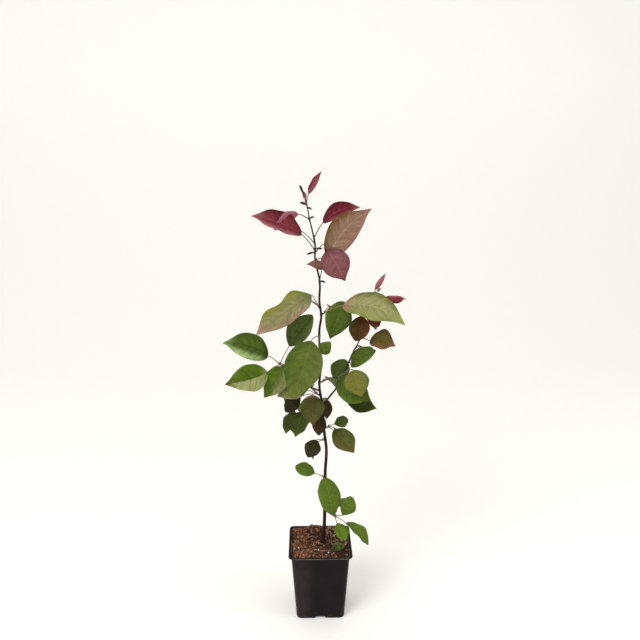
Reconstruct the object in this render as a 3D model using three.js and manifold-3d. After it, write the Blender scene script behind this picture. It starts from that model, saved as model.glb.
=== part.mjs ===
// A young crabapple whip in a black square nursery pot.
// Millimetres, +Z up. The origin is the middle of the pot's flat underside.
// The plant's front looks along -Y.
import * as THREE from "three";
import { mergeVertices } from "three/addons/utils/BufferGeometryUtils.js";
import Module from "manifold-3d";

const wasm = await Module();
wasm.setup();

// Clearance between neighbouring solids
const GAP = 0.3;

// Pot: a tapered square body, a stepped collar and a flat rim
const POT_HEIGHT = 125;
const POT_BASE_WIDTH = 84;
const POT_BODY_WIDTH = 100;
const POT_COLLAR_WIDTH = 102;
const POT_RIM_WIDTH = 110;
const POT_WALL = 1.6;
const POT_FLOOR = 2.4;
const POT_CORNER = 9;
const RIM_THICKNESS = 3;
const RIM_EDGE = 0.6;
const LIP_WIDTH = 2;
const MOUTH_DEPTH = 2.2;
const COLLAR_HEIGHT = 9;
const FOOT_CHAMFER = 1;
const CORNER_STEPS = 3;

// Drainage notches, one in the foot of each side
const NOTCH_FOOT_WIDTH = 20;
const NOTCH_TOP_WIDTH = 12;
const NOTCH_HEIGHT = 7;
const NOTCH_DEPTH = 7;

// Compost: fills the pot and mounds up towards the stem
const COMPOST_EDGE = 119.5;
const COMPOST_CROWN = 122;
const COMPOST_FLAT = 14;

// Stem and limbs: points as [x, y, z] and radii from foot to tip
const STEM_FOOT = COMPOST_CROWN + GAP;
const STEM_FLARE = 4.6;
const STEM_RADII = [3.2, 2.9, 2.5, 2.1, 1.9, 1.75];
const FLARE_HEIGHT = 16;
const STEM = [
  [6, 0, STEM_FOOT], [8, 1, 166], [9, 2, 254], [11, 2, 299], [7, 1, 335], [4, 0, 379], [-1, 0, 414],
  [1, 0, 450], [-1, 0, 489], [-1, 0, 512], [2, 0, 535], [-1, 0, 561], [0, 0, 584],
];
const LIMB_SIDES = 8;

const LIMBS = {
  trunk: { path: STEM, radii: STEM_RADII, steps: 26, colour: 0x2a1519 },
  right_bough: {
    path: [[4, 0, 379], [17, -1, 397], [26, -2, 409], [35, -3, 428], [43, -4, 444]],
    radii: [1.9, 1.6, 1.4, 1.3],
    steps: 12,
    colour: 0x2a1519,
  },
  left_bough: {
    path: [[-1, 0, 406], [-16, -1, 413], [-34, -4, 427], [-63, -8, 452]],
    radii: [1.5, 1.3, 1.1, 1],
    steps: 12,
    colour: 0x3a2420,
  },
  foot_bough: {
    path: [[8.5, 1.5, 211], [13, -3, 203], [19, -6, 191], [26, -9, 179]],
    radii: [1.5, 1.3, 1.2, 1.1],
    steps: 10,
    colour: 0x3a2420,
  },
};

// Leaf build
const LEAF_THICKNESS = 0.9;
const LEAF_SLENDERNESS = 0.016;
const BLADE_END_WIDTH = 0.6;
const SHORT_PETIOLE = 4;
const PETIOLE_RADIUS = 0.85;
const PETIOLE_SIDES = 3;
const PETIOLE_STEPS = 3;
const PETIOLE_BOW = 0.06;
const PETIOLE_INSET = 0.12;
const SPUR_RADIUS = 1.25;
const SPUR_LENGTH = 3.5;
const CLEAR_OF_LEAF = 5;
const CLEAR_OF_LIMB = 3.5;
const LIMB_SPACING = 4;
const STUB_SIDES = 5;
const BASE_SHAPE = [0.6, 0.95];
const END_SHAPE = [0.95, 0.55];
const SLIM_PETIOLE = 0.35;
const PETIOLE_THICKENING = 0.02;

// How far the fill leaves differ from one another
const FILL_PLACE = [-0.15, 0.15];
const FILL_SIZE = [0.88, 1.12];
const FILL_RISE = [-8, 8];
const FILL_PETIOLE = [0.85, 1.15];
const FILL_TURN = [-8, 8];
const FILL_DROOP = [38, 52];
const FILL_TILT = [38, 50];
const FILL_FOLD = [8, 18];
const FILL_ARCH = 0.1;
const FILL_WIDEST = [0.42, 0.5];

// Leaf masses. Each grows from one stem: a shoot, which is a path of its own that carries on
// from a limb's tip, or a short spur on the trunk or at a bough's tip.
// A leaf has: at, its height on a shoot; petiole [heading, rise, length];
// blade [heading, rise, length, width]; face [heading, tilt], the way its upper side looks;
// form [fold, arch, sweep, widest, blunt]. Angles are degrees, and a heading of 0 is +X and 90 is +Y.
// Arch and sweep are parts of the length, and widest is a place along it. Blunt runs from 0 for
// a round base and a short point to 1 for a wedge base and a round end.
// Fill gives the leaves round the back: how many, between which headings, and their sizes.
const LEADER = [
  [0, 0, 584.5], [-1, 0, 597], [-8, 0, 630], [-8, 0, 653],
  [-12, 0, 674], [-17, 0, 695], [-20, 0, 712], [-24, 0, 728],
];
const SIDE_SHOOT = [
  [43.4, -4, 445], [55, -5, 475], [64, -5, 492], [75, -4, 525], [80, -3, 534], [90, 0, 572],
];

const MASSES = {
  leader_shoot: {
    shoot: LEADER,
    radii: [1.7, 1.55, 1.35, 1.1, 0.8],
    colour: 0x6b2735,
    leaves: [
      {
        at: 719, petiole: [330, 75, 15], blade: [350, 60, 42, 12],
        face: [250, 75], form: [20, 0.02, 0, 0.45],
      },
      { at: 726, petiole: [180, 70, 6], blade: [200, 67, 18, 3], face: [180, 40], form: [10, 0, 0, 0.5] },
      { at: 726, petiole: [150, 73, 1], blade: [130, 69, 12, 6], face: [270, 60], form: [20, 0, 0, 0.42] },
      {
        at: 643, petiole: [203, 50, 36], blade: [195, 21, 88, 40],
        face: [270, 52], form: [20, 0.08, 0.02, 0.48],
      },
      {
        at: 693, petiole: [198, 26, 21], blade: [212, -26, 52, 28],
        face: [90, 50], form: [16, 0.05, 0, 0.42],
      },
      {
        at: 663, petiole: [352, 60, 29], blade: [14, 20, 70, 28],
        face: [262, 60], form: [20, 0.08, -0.1, 0.45],
      },
      {
        at: 628, petiole: [320, 14, 26], blade: [343, 50, 107, 47],
        face: [262, 74], form: [10, 0.04, -0.06, 0.44],
      },
      {
        at: 594, petiole: [300, 66, 57], blade: [324, -54, 58, 46],
        face: [262, 78], form: [8, 0.06, -0.04, 0.44],
      },
      {
        at: 622, petiole: [315, -16, 18], blade: [193, 19, 29, 16],
        face: [262, 60], form: [20, 0.12, 0, 0.42],
      },
      { at: 716, petiole: [180, 26, 0.5], blade: [190, 21, 12, 4], face: [268, 62], form: [10, 0.1, 0, 0.6] },
      { at: 713, petiole: [0, -25, 0.5], blade: [340, -25, 8, 3.4], face: [268, 62], form: [10, 0.1, 0, 0.6] },
      { at: 695, petiole: [0, 8, 0.5], blade: [344, 22, 8, 3.4], face: [268, 62], form: [10, 0.1, 0, 0.6] },
      { at: 647, petiole: [0, -5, 0.5], blade: [349, -2, 12, 3.6], face: [268, 62], form: [10, 0.1, 0, 0.6] },
      { at: 641, petiole: [180, 0, 0.5], blade: [189, -15, 14, 3.6], face: [268, 62], form: [10, 0.1, 0, 0.6] },
      { at: 594, petiole: [0, -15, 0.5], blade: [347, -12, 10, 3.6], face: [268, 62], form: [10, 0.1, 0, 0.6] },
      { at: 655, petiole: [144, 32, 42], blade: [146, 4, 60, 34], face: [146, 34], form: [14, 0.1, 0, 0.45] },
      { at: 640, petiole: [51, 25, 35], blade: [43, 12, 54, 32], face: [43, 36], form: [12, 0.1, 0, 0.45] },
    ],
  },
  upper_left_leaves: {
    spur: [-1, 0, 549],
    colour: 0x7d8440,
    leaves: [
      {
        petiole: [220, 54, 25], blade: [203, -31, 112, 46],
        face: [268, 54], form: [12, 0.06, -0.01, 0.38, 0.5],
      },
    ],
    fill: { seed: 11, count: 2, headings: [115, 175], rise: 16, petiole: 26, length: 62, width: 34 },
  },
  upper_right_leaves: {
    spur: [2, 0, 538],
    colour: 0x828a46,
    leaves: [
      { petiole: [339, 25, 37], blade: [334, -13, 110, 48], face: [268, 58], form: [10, 0.1, -0.1, 0.45] },
      { petiole: [20, 26, 40], blade: [208, -66, 68, 44], face: [280, 70], form: [12, 0.06, 0, 0.42] },
    ],
    fill: { seed: 12, count: 2, headings: [25, 75], rise: 10, petiole: 28, length: 66, width: 36 },
  },
  left_leaves: {
    tip: "left_bough",
    colour: 0x4d6a34,
    leaves: [
      { petiole: [192, 40, 25], blade: [196, 21, 81, 44], face: [268, 62], form: [10, 0.05, 0.07, 0.45] },
      { petiole: [214, -20, 26], blade: [211, -5, 78, 46], face: [268, 58], form: [10, 0.06, -0.06, 0.45] },
      { petiole: [344, 63, 36], blade: [6, 52, 66, 38], face: [268, 72], form: [8, 0.05, -0.06, 0.45, 0.8] },
      {
        petiole: [306, -22, 6], blade: [218, -53, 60, 40],
        face: [262, 66], form: [20, 0.06, -0.09, 0.42, 0.2],
      },
    ],
    fill: { seed: 13, count: 1, headings: [60, 80], rise: -10, petiole: 26, length: 60, width: 34 },
  },
  front_leaves: {
    spur: [0, 0, 502],
    colour: 0x55742e,
    leaves: [
      { petiole: [251, 3, 41], blade: [232, -61, 99, 60], face: [268, 80], form: [8, 0.05, 0, 0.38, 0.5] },
      { petiole: [285, -66, 29], blade: [338, 52, 27, 22], face: [268, 60], form: [10, 0.05, 0, 0.42, 0.7] },
    ],
  },
  middle_left_leaves: {
    spur: [-1, 0, 398],
    colour: 0x2f3f24,
    leaves: [
      { petiole: [207, 38, 38], blade: [206, -20, 48, 34], face: [262, 60], form: [16, 0.08, -0.1, 0.45] },
      { petiole: [170, -12, 30], blade: [192, -44, 38, 26], face: [262, 60], form: [14, 0.12, 0, 0.5, 0.5] },
    ],
    fill: { seed: 14, count: 2, headings: [105, 160], rise: 12, petiole: 24, length: 58, width: 34 },
  },
  bough_foot_leaves: {
    spur: [0, 0, 421],
    colour: 0x44582f,
    leaves: [
      { petiole: [30, 3, 23], blade: [6, 58, 40, 33], face: [270, 72], form: [8, 0.05, 0, 0.5, 0.9] },
    ],
    fill: { seed: 15, count: 2, headings: [30, 75], rise: 8, petiole: 24, length: 56, width: 32 },
  },
  right_lower_leaves: {
    spur: [40, -3.6, 438],
    limb: "right_bough",
    colour: 0x5d6b2c,
    leaves: [
      { petiole: [291, 23, 35], blade: [297, -57, 46, 41], face: [268, 78], form: [6, 0.05, 0, 0.42, 0.3] },
      { petiole: [229, -12, 19], blade: [339, -32, 67, 46], face: [262, 68], form: [8, 0.06, 0.03, 0.45] },
      { petiole: [60, -84, 44], blade: [345, -16, 56, 30], face: [265, 62], form: [14, -0.04, 0.05, 0.5] },
    ],
    fill: { seed: 16, count: 2, headings: [40, 90], rise: 2, petiole: 22, length: 56, width: 34 },
  },
  right_shoot: {
    shoot: SIDE_SHOOT,
    radii: [1.25, 1.15, 1, 0.85, 0.65],
    colour: 0x5b4527,
    leaves: [
      {
        at: 459, petiole: [315, -58, 11], blade: [334, 41, 54, 27],
        face: [266, 66], form: [10, 0.05, -0.1, 0.5, 0.8],
      },
      {
        at: 527, petiole: [221, 49, 14], blade: [235, -64, 44, 34],
        face: [268, 74], form: [8, 0.05, 0, 0.5, 0.7],
      },
      { at: 534, petiole: [58, 28, 8], blade: [10, -56, 28, 24], face: [268, 66], form: [14, 0.05, 0, 0.42] },
      {
        at: 499, petiole: [343, -13, 17], blade: [328, -5, 46, 34],
        face: [266, 62], form: [12, 0.12, -0.12, 0.55],
      },
      { at: 571, petiole: [0, 85, 8], blade: [353, 59, 33, 9], face: [260, 75], form: [14, 0.04, 0, 0.42] },
      { at: 571, petiole: [0, 51, 6], blade: [0, 46, 9, 4], face: [260, 70], form: [10, 0, 0, 0.5] },
      { at: 567, petiole: [17, -6, 21], blade: [353, 0, 33, 15], face: [268, 60], form: [20, 0, 0.12, 0.5] },
      { at: 516, petiole: [70, 25, 20], blade: [62, -30, 50, 30], face: [62, 40], form: [12, 0.1, 0, 0.45] },
      { at: 480, petiole: [63, -5, 22], blade: [56, -29, 42, 27], face: [56, 42], form: [12, 0.1, 0, 0.45] },
    ],
  },
  middle_front_leaves: {
    spur: [4, 0, 379],
    colour: 0x4a4c2a,
    leaves: [
      { petiole: [238, 41, 40], blade: [275, -62, 51, 40], face: [262, 78], form: [10, 0.05, 0, 0.45] },
      { petiole: [257, -39, 16], blade: [259, -75, 39, 24], face: [268, 76], form: [8, 0.04, 0, 0.5, 0.4] },
      { petiole: [207, -11, 36], blade: [241, -55, 44, 36], face: [255, 66], form: [14, 0.08, 0, 0.42] },
      { petiole: [192, -8, 46], blade: [217, -62, 43, 22], face: [250, 60], form: [16, 0.1, 0, 0.55] },
      { petiole: [337, 45, 15], blade: [261, -80, 34, 18], face: [275, 66], form: [12, 0.05, 0, 0.42, 0.4] },
    ],
    fill: { seed: 17, count: 2, headings: [80, 140], rise: 6, petiole: 24, length: 52, width: 32 },
  },
  low_right_leaves: {
    spur: [9, 0, 339],
    colour: 0x4b4a24,
    leaves: [
      { petiole: [9, 22, 12], blade: [355, 18, 26, 20], face: [266, 60], form: [8, 0.08, 0, 0.6, 0.9] },
      {
        petiole: [325, -16, 12], blade: [322, -35, 53, 36],
        face: [266, 66], form: [12, 0.1, -0.04, 0.5, 0.3],
      },
    ],
    fill: { seed: 18, count: 1, headings: [30, 50], rise: -20, petiole: 18, length: 36, width: 24 },
  },
  low_left_leaves: {
    spur: [10, 0, 317],
    colour: 0x2c3320,
    leaves: [
      { petiole: [214, 14, 15], blade: [234, -42, 35, 28], face: [266, 70], form: [10, 0.06, 0, 0.5, 0.5] },
    ],
    fill: { seed: 19, count: 1, headings: [125, 150], rise: -28, petiole: 16, length: 38, width: 26 },
  },
  lowest_left_leaves: {
    spur: [9, 0, 247],
    colour: 0x4b6a2c,
    leaves: [
      { petiole: [202, 32, 18], blade: [205, 30, 42, 23], face: [266, 58], form: [8, 0.08, 0, 0.62, 1] },
    ],
  },
  foot_leaves: {
    tip: "foot_bough",
    colour: 0x4f7030,
    leaves: [
      { petiole: [258, 27, 13], blade: [216, 76, 79, 38], face: [282, 80], form: [8, 0.04, 0, 0.62, 1] },
      { petiole: [355, 8, 14], blade: [327, 65, 44, 27], face: [268, 72], form: [8, 0.05, 0.03, 0.6, 1] },
      { petiole: [284, -24, 15], blade: [301, -35, 34, 24], face: [280, 50], form: [10, 0.06, 0, 0.55, 0.8] },
      {
        petiole: [343, -26, 22], blade: [330, -34, 55, 19],
        face: [262, 62], form: [18, 0.15, -0.14, 0.6, 0.3],
      },
    ],
    fill: { seed: 20, count: 1, headings: [50, 90], rise: 40, petiole: 16, length: 40, width: 26 },
  },
};

// A repeatable stream of numbers from 0 to 1
function seeded(seed) {
  let state = seed >>> 0;
  return () => {
    state = (state + 0x6d2b79f5) >>> 0;
    let t = state;
    t = Math.imul(t ^ (t >>> 15), t | 1);
    t ^= t + Math.imul(t ^ (t >>> 7), t | 61);
    return ((t ^ (t >>> 14)) >>> 0) / 4294967296;
  };
}

// A unit vector from a compass heading and a rise above the level, in degrees
function direction(heading, rise) {
  const h = THREE.MathUtils.degToRad(heading);
  const r = THREE.MathUtils.degToRad(rise);
  return new THREE.Vector3(Math.cos(h) * Math.cos(r), Math.sin(h) * Math.cos(r), Math.sin(r));
}

// The value at place t of a list of values spread evenly from 0 to 1
function along(values, t) {
  const place = t * (values.length - 1);
  const i = Math.min(Math.floor(place), values.length - 2);
  return THREE.MathUtils.lerp(values[i], values[i + 1], place - i);
}

// A closed body through rings of equal count, its ends closed by fans
function loft(rings) {
  const count = rings[0].length;
  const points = rings.flat();
  const triangles = [];
  for (let r = 0; r < rings.length - 1; r += 1) {
    for (let i = 0; i < count; i += 1) {
      const a = r * count + i;
      const b = r * count + ((i + 1) % count);
      triangles.push(a, b, b + count, a, b + count, a + count);
    }
  }
  const last = (rings.length - 1) * count;
  for (let i = 1; i < count - 1; i += 1) {
    triangles.push(0, i + 1, i, last, last + i, last + i + 1);
  }
  return closedGeometry(points, triangles);
}

// Points and triangles as a geometry whose faces look outwards
function closedGeometry(points, triangles) {
  let volume = 0;
  for (let i = 0; i < triangles.length; i += 3) {
    const [a, b, c] = [points[triangles[i]], points[triangles[i + 1]], points[triangles[i + 2]]];
    volume += a.dot(b.clone().cross(c));
  }
  const outward = volume < 0 ? triangles.toReversed() : triangles;
  const geometry = new THREE.BufferGeometry();
  geometry.setAttribute("position", new THREE.Float32BufferAttribute(points.flatMap((p) => p.toArray()), 3));
  geometry.setIndex(outward);
  return geometry;
}

// A three.js geometry as a solid that can be joined and cut
function solid(geometry) {
  geometry.deleteAttribute("normal");
  geometry.deleteAttribute("uv");
  const merged = mergeVertices(geometry, 1e-4);
  return new wasm.Manifold(
    new wasm.Mesh({
      numProp: 3,
      vertProperties: new Float32Array(merged.attributes.position.array),
      triVerts: new Uint32Array(merged.index.array),
    }),
  );
}

// The largest single body of a solid as a three.js geometry
function geometryOf(body) {
  const pieces = body.decompose();
  pieces.sort((a, b) => b.volume() - a.volume());
  const mesh = pieces[0].getMesh();
  const geometry = new THREE.BufferGeometry();
  geometry.setAttribute("position", new THREE.BufferAttribute(new Float32Array(mesh.vertProperties), 3));
  geometry.setIndex(new THREE.BufferAttribute(new Uint32Array(mesh.triVerts), 1));
  geometry.computeVertexNormals();
  return geometry;
}

// A tapering round limb along a path; grow thickens it all over
function limbGeometry(path, radii, steps, sides, grow = 0, flat = false) {
  const curve = new THREE.CatmullRomCurve3(path.map((p) => new THREE.Vector3(...p)), false, "centripetal");
  const frames = curve.computeFrenetFrames(steps, false);
  const rings = [];
  for (let i = 0; i <= steps; i += 1) {
    const centre = curve.getPointAt(i / steps);
    const radius = limbRadius(radii, i / steps, centre.z, flat) + grow;
    const ring = [];
    for (let k = 0; k < sides; k += 1) {
      const turn = (2 * Math.PI * k) / sides;
      const point = centre
        .clone()
        .addScaledVector(frames.normals[i], radius * Math.cos(turn))
        .addScaledVector(frames.binormals[i], radius * Math.sin(turn));
      if (flat && i === 0) {
        point.z = centre.z - grow;
      }
      ring.push(point);
    }
    rings.push(ring);
  }
  return loft(rings);
}

// The radius at place t, with the root flare added at the trunk's foot
function limbRadius(radii, t, height, flared) {
  const radius = along(radii, t);
  if (!flared) {
    return radius;
  }
  const rise = Math.max(0, 1 - (height - STEM_FOOT) / FLARE_HEIGHT);
  return radius + (STEM_FLARE - radii[0]) * rise * rise;
}

// A limb of the list as a solid
function limbSolid(name, grow = 0) {
  const { path, radii, steps } = LIMBS[name];
  return solid(limbGeometry(path, radii, steps, LIMB_SIDES, grow, name === "trunk"));
}

// The leaf's half width at place t, as a part of its greatest
function outline(t, widest, blunt = 0) {
  if (t < widest) {
    return (1 - ((widest - t) / widest) ** 2) ** THREE.MathUtils.lerp(...BASE_SHAPE, blunt);
  }
  const fall = Math.cos(((Math.PI / 2) * (t - widest)) / (1 - widest));
  return Math.max(0, fall) ** THREE.MathUtils.lerp(...END_SHAPE, blunt);
}

// The axis, upper side and edge directions of a leaf
function leafFrame(leaf) {
  const axis = direction(leaf.blade[0], leaf.blade[1]);
  const face = direction(leaf.face[0], 90 - leaf.face[1]);
  const up = face.addScaledVector(axis, -face.dot(axis)).normalize();
  return { axis, up, side: axis.clone().cross(up) };
}

// A point on the blade at place t along it and s across it, from -1 to 1
function bladePoint(leaf, base, t, s) {
  const { axis, up, side } = leafFrame(leaf);
  const [, , length, width] = leaf.blade;
  const [fold, arch, sweep, widest, blunt] = leaf.form;
  const half = (outline(t, widest, blunt) * width) / 2;
  const bow = 4 * t * (1 - t) * length;
  const angle = THREE.MathUtils.degToRad(fold);
  return base
    .clone()
    .addScaledVector(axis, length * t)
    .addScaledVector(up, bow * arch + Math.abs(s) * half * Math.sin(angle))
    .addScaledVector(side, bow * sweep + s * half * Math.cos(angle));
}

// The blade: thickest along its midrib, folded there, and narrowing to both ends
function bladeGeometry(leaf, base) {
  const { up, side } = leafFrame(leaf);
  const length = leaf.blade[2];
  const half = Math.max(LEAF_THICKNESS, length * LEAF_SLENDERNESS) / 2;
  const steps = bladeSteps(length);
  const rings = [];
  for (let i = 0; i <= steps; i += 1) {
    const t = i / steps;
    const spare = i === 0 || i === steps ? BLADE_END_WIDTH / 2 : 0;
    const middle = bladePoint(leaf, base, t, 0);
    rings.push([
      middle.clone().addScaledVector(up, half),
      bladePoint(leaf, base, t, 1).addScaledVector(side, spare),
      middle.clone().addScaledVector(up, -half),
      bladePoint(leaf, base, t, -1).addScaledVector(side, -spare),
    ]);
  }
  return loft(rings);
}

// Long blades take more steps than short ones
function bladeSteps(length) {
  if (length > 45) {
    return 6;
  }
  return length > 15 ? 5 : 3;
}

// The petiole: a slim stalk that bows a little and runs on into the blade
function petioleGeometry(leaf, start, base) {
  const end = base.clone().addScaledVector(leafFrame(leaf).axis, leaf.blade[2] * PETIOLE_INSET);
  const rise = 4 * PETIOLE_INSET * (1 - PETIOLE_INSET) * leaf.blade[2] * leaf.form[1];
  end.addScaledVector(leafFrame(leaf).up, rise);
  const middle = start.clone().add(base).multiplyScalar(0.5);
  middle.z += leaf.petiole[2] * PETIOLE_BOW;
  const curve = new THREE.CatmullRomCurve3([start, middle, base, end], false, "centripetal");
  const slim = Math.min(PETIOLE_RADIUS, SLIM_PETIOLE + leaf.blade[2] * PETIOLE_THICKENING);
  return limbGeometry(curve.points.map((p) => p.toArray()), [slim * 1.1, slim], PETIOLE_STEPS, PETIOLE_SIDES);
}

// Where a shoot's path passes a height
function heightOn(path, height) {
  const i = Math.max(1, path.findIndex((p) => p[2] >= height));
  const [a, b] = [new THREE.Vector3(...path[i - 1]), new THREE.Vector3(...path[i])];
  return a.lerp(b, (height - a.z) / (b.z - a.z));
}

// The point that a mass's leaves grow from
function leafStart(mass, leaf) {
  if (mass.shoot) {
    return heightOn(mass.shoot, leaf.at);
  }
  return spurEnd(mass);
}

// A spur's outer end: a little way out along its first leaf's petiole
function spurEnd(mass) {
  const [heading, rise] = mass.leaves[0].petiole;
  return spurRoot(mass).addScaledVector(direction(heading, rise), SPUR_LENGTH + SPUR_RADIUS);
}

// A spur's root: on its limb's centre line, or just clear of a bough's tip
function spurRoot(mass) {
  if (mass.spur) {
    return new THREE.Vector3(...mass.spur);
  }
  const { path } = LIMBS[mass.tip];
  const [before, tip] = [new THREE.Vector3(...path.at(-2)), new THREE.Vector3(...path.at(-1))];
  return tip.addScaledVector(tip.clone().sub(before).normalize(), GAP);
}

// The place of a leaf's base
function leafBase(leaf, start) {
  const [heading, rise, length] = leaf.petiole;
  return start.clone().addScaledVector(direction(heading, rise), length);
}

// Points over a leaf, used to keep leaves apart
function leafSamples(leaf, start) {
  const base = leafBase(leaf, start);
  const samples = [start.clone().lerp(base, 0.6), base];
  for (const t of [0.2, 0.4, 0.6, 0.8, 1]) {
    for (const s of [-1, 0, 1]) {
      samples.push(bladePoint(leaf, base, t, s));
    }
  }
  return samples;
}

// The leaves round a mass's back, spread between two headings by a seeded rule
function fillLeaves(fill) {
  const random = seeded(fill.seed);
  const within = ([low, high]) => THREE.MathUtils.lerp(low, high, random());
  const leaves = [];
  for (let i = 0; i < fill.count; i += 1) {
    const place = (i + 0.5 + within(FILL_PLACE)) / fill.count;
    const heading = THREE.MathUtils.lerp(fill.headings[0], fill.headings[1], place);
    const size = within(FILL_SIZE);
    const rise = fill.rise + within(FILL_RISE);
    leaves.push({
      petiole: [heading, rise, fill.petiole * within(FILL_PETIOLE)],
      blade: [heading + within(FILL_TURN), rise - within(FILL_DROOP), fill.length * size, fill.width * size],
      face: [heading, within(FILL_TILT)],
      form: [within(FILL_FOLD), FILL_ARCH, 0, within(FILL_WIDEST)],
    });
  }
  return leaves;
}

// Points down the middle of every limb and shoot
function limbSamples() {
  const paths = [...Object.values(LIMBS).map((limb) => limb.path), LEADER, SIDE_SHOOT];
  return paths.flatMap((path) => {
    const curve = new THREE.CatmullRomCurve3(path.map((p) => new THREE.Vector3(...p)), false, "centripetal");
    return curve.getSpacedPoints(Math.round(curve.getLength() / LIMB_SPACING));
  });
}

// Adds each mass's fill leaves, less any that would touch a limb or another mass
function growMasses() {
  const limbs = limbSamples();
  const grown = Object.entries(MASSES).map(([name, mass]) => ({ name, mass, leaves: [...mass.leaves] }));
  const taken = (other) =>
    grown.filter((g) => g !== other).flatMap((g) => g.leaves.flatMap((l) => leafSamples(l, leafStart(g.mass, l))));
  for (const entry of grown.filter((g) => g.mass.fill)) {
    const others = taken(entry);
    for (const leaf of fillLeaves(entry.mass.fill)) {
      const samples = leafSamples(leaf, leafStart(entry.mass, leaf)).slice(1);
      const touches = (points, clear) => samples.some((s) => points.some((p) => p.distanceTo(s) < clear));
      if (!touches(others, CLEAR_OF_LEAF) && !touches(limbs, CLEAR_OF_LIMB)) {
        entry.leaves.push(leaf);
      }
    }
  }
  return grown;
}

// A mass: its stem with every leaf fused on
function massSolid({ mass, leaves }) {
  let body = mass.shoot
    ? solid(limbGeometry(mass.shoot, mass.radii, 2 * mass.shoot.length, STUB_SIDES))
    : spurSolid(mass);
  for (const leaf of leaves) {
    const start = leafStart(mass, leaf);
    const base = leafBase(leaf, start);
    if (leaf.petiole[2] > SHORT_PETIOLE) {
      body = body.add(solid(petioleGeometry(leaf, start, base)));
    }
    body = body.add(solid(bladeGeometry(leaf, base)));
  }
  if (!mass.shoot) {
    body = body.subtract(limbSolid(mass.limb ?? mass.tip ?? "trunk", GAP));
  }
  return body;
}

// A spur: a short stub that the leaves of a mass share
function spurSolid(mass) {
  const [root, end] = [spurRoot(mass), spurEnd(mass)];
  const middle = root.clone().lerp(end, 0.5);
  const radius = mass.tip ? LIMBS[mass.tip].radii.at(-1) : SPUR_RADIUS;
  const path = [root.toArray(), middle.toArray(), end.toArray()];
  return solid(limbGeometry(path, [radius, radius * 0.9], 1, STUB_SIDES));
}

// A rounded square ring at a height
function squareRing(width, corner, height) {
  const ring = [];
  const inner = width / 2 - corner;
  for (let side = 0; side < 4; side += 1) {
    const centre = new THREE.Vector2(inner, inner).rotateAround(new THREE.Vector2(), (side * Math.PI) / 2);
    for (let k = 0; k <= CORNER_STEPS; k += 1) {
      const turn = (side + k / CORNER_STEPS) * (Math.PI / 2);
      const x = centre.x + corner * Math.cos(turn);
      const y = centre.y + corner * Math.sin(turn);
      ring.push(new THREE.Vector3(x, y, height));
    }
  }
  return ring;
}

// The pot's outer width at a height on its body
function bodyWidth(height) {
  return THREE.MathUtils.lerp(POT_BASE_WIDTH, POT_BODY_WIDTH, height / (POT_HEIGHT - COLLAR_HEIGHT));
}

// The pot's outside: foot, body, collar and rim
function potOutside() {
  const collar = POT_HEIGHT - COLLAR_HEIGHT;
  const rim = POT_HEIGHT - RIM_THICKNESS;
  return loft([
    squareRing(POT_BASE_WIDTH - 2 * FOOT_CHAMFER, POT_CORNER - FOOT_CHAMFER, 0),
    squareRing(POT_BASE_WIDTH, POT_CORNER, FOOT_CHAMFER),
    squareRing(POT_BODY_WIDTH, POT_CORNER, collar),
    squareRing(POT_COLLAR_WIDTH, POT_CORNER, collar + 1),
    squareRing(POT_COLLAR_WIDTH, POT_CORNER, rim),
    squareRing(POT_RIM_WIDTH, POT_CORNER, rim + RIM_EDGE),
    squareRing(POT_RIM_WIDTH, POT_CORNER, POT_HEIGHT - RIM_EDGE),
    squareRing(POT_RIM_WIDTH - 2 * RIM_EDGE, POT_CORNER - RIM_EDGE, POT_HEIGHT),
  ]);
}

// The space inside the pot's walls, drawn in by a clearance, up to a height
function potInside(clearance, floor, top) {
  const collar = POT_HEIGHT - COLLAR_HEIGHT;
  const inset = 2 * (POT_WALL + clearance);
  const corner = POT_CORNER - POT_WALL;
  return [
    squareRing(bodyWidth(floor) - inset, corner, floor),
    squareRing(POT_BODY_WIDTH - inset, corner, collar),
    squareRing(POT_COLLAR_WIDTH - inset, corner, collar + 1),
    squareRing(POT_COLLAR_WIDTH - inset, corner, top),
  ];
}

// One drainage notch, cut in from the middle of the front
function notchGeometry() {
  const shape = new THREE.Shape([
    new THREE.Vector2(-NOTCH_FOOT_WIDTH / 2, -1),
    new THREE.Vector2(NOTCH_FOOT_WIDTH / 2, -1),
    new THREE.Vector2(NOTCH_TOP_WIDTH / 2, NOTCH_HEIGHT),
    new THREE.Vector2(-NOTCH_TOP_WIDTH / 2, NOTCH_HEIGHT),
  ]);
  const geometry = new THREE.ExtrudeGeometry(shape, { depth: NOTCH_DEPTH, bevelEnabled: false });
  geometry.rotateX(Math.PI / 2);
  geometry.translate(0, -POT_BASE_WIDTH / 2 + NOTCH_DEPTH - 1, 0);
  return geometry;
}

// The pot's cavity, with a mouth that slopes out to the lip
function potCavity() {
  const mouth = POT_RIM_WIDTH - 2 * LIP_WIDTH;
  const corner = POT_CORNER - LIP_WIDTH;
  return loft([
    ...potInside(0, POT_FLOOR, POT_HEIGHT - MOUTH_DEPTH),
    squareRing(mouth, corner, POT_HEIGHT),
    squareRing(mouth, corner, POT_HEIGHT + 1),
  ]);
}

// The pot: its outside less its cavity and its four notches
function potSolid() {
  let body = solid(potOutside()).subtract(solid(potCavity()));
  for (let side = 0; side < 4; side += 1) {
    body = body.subtract(solid(notchGeometry().rotateZ((side * Math.PI) / 2)));
  }
  return body;
}

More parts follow.
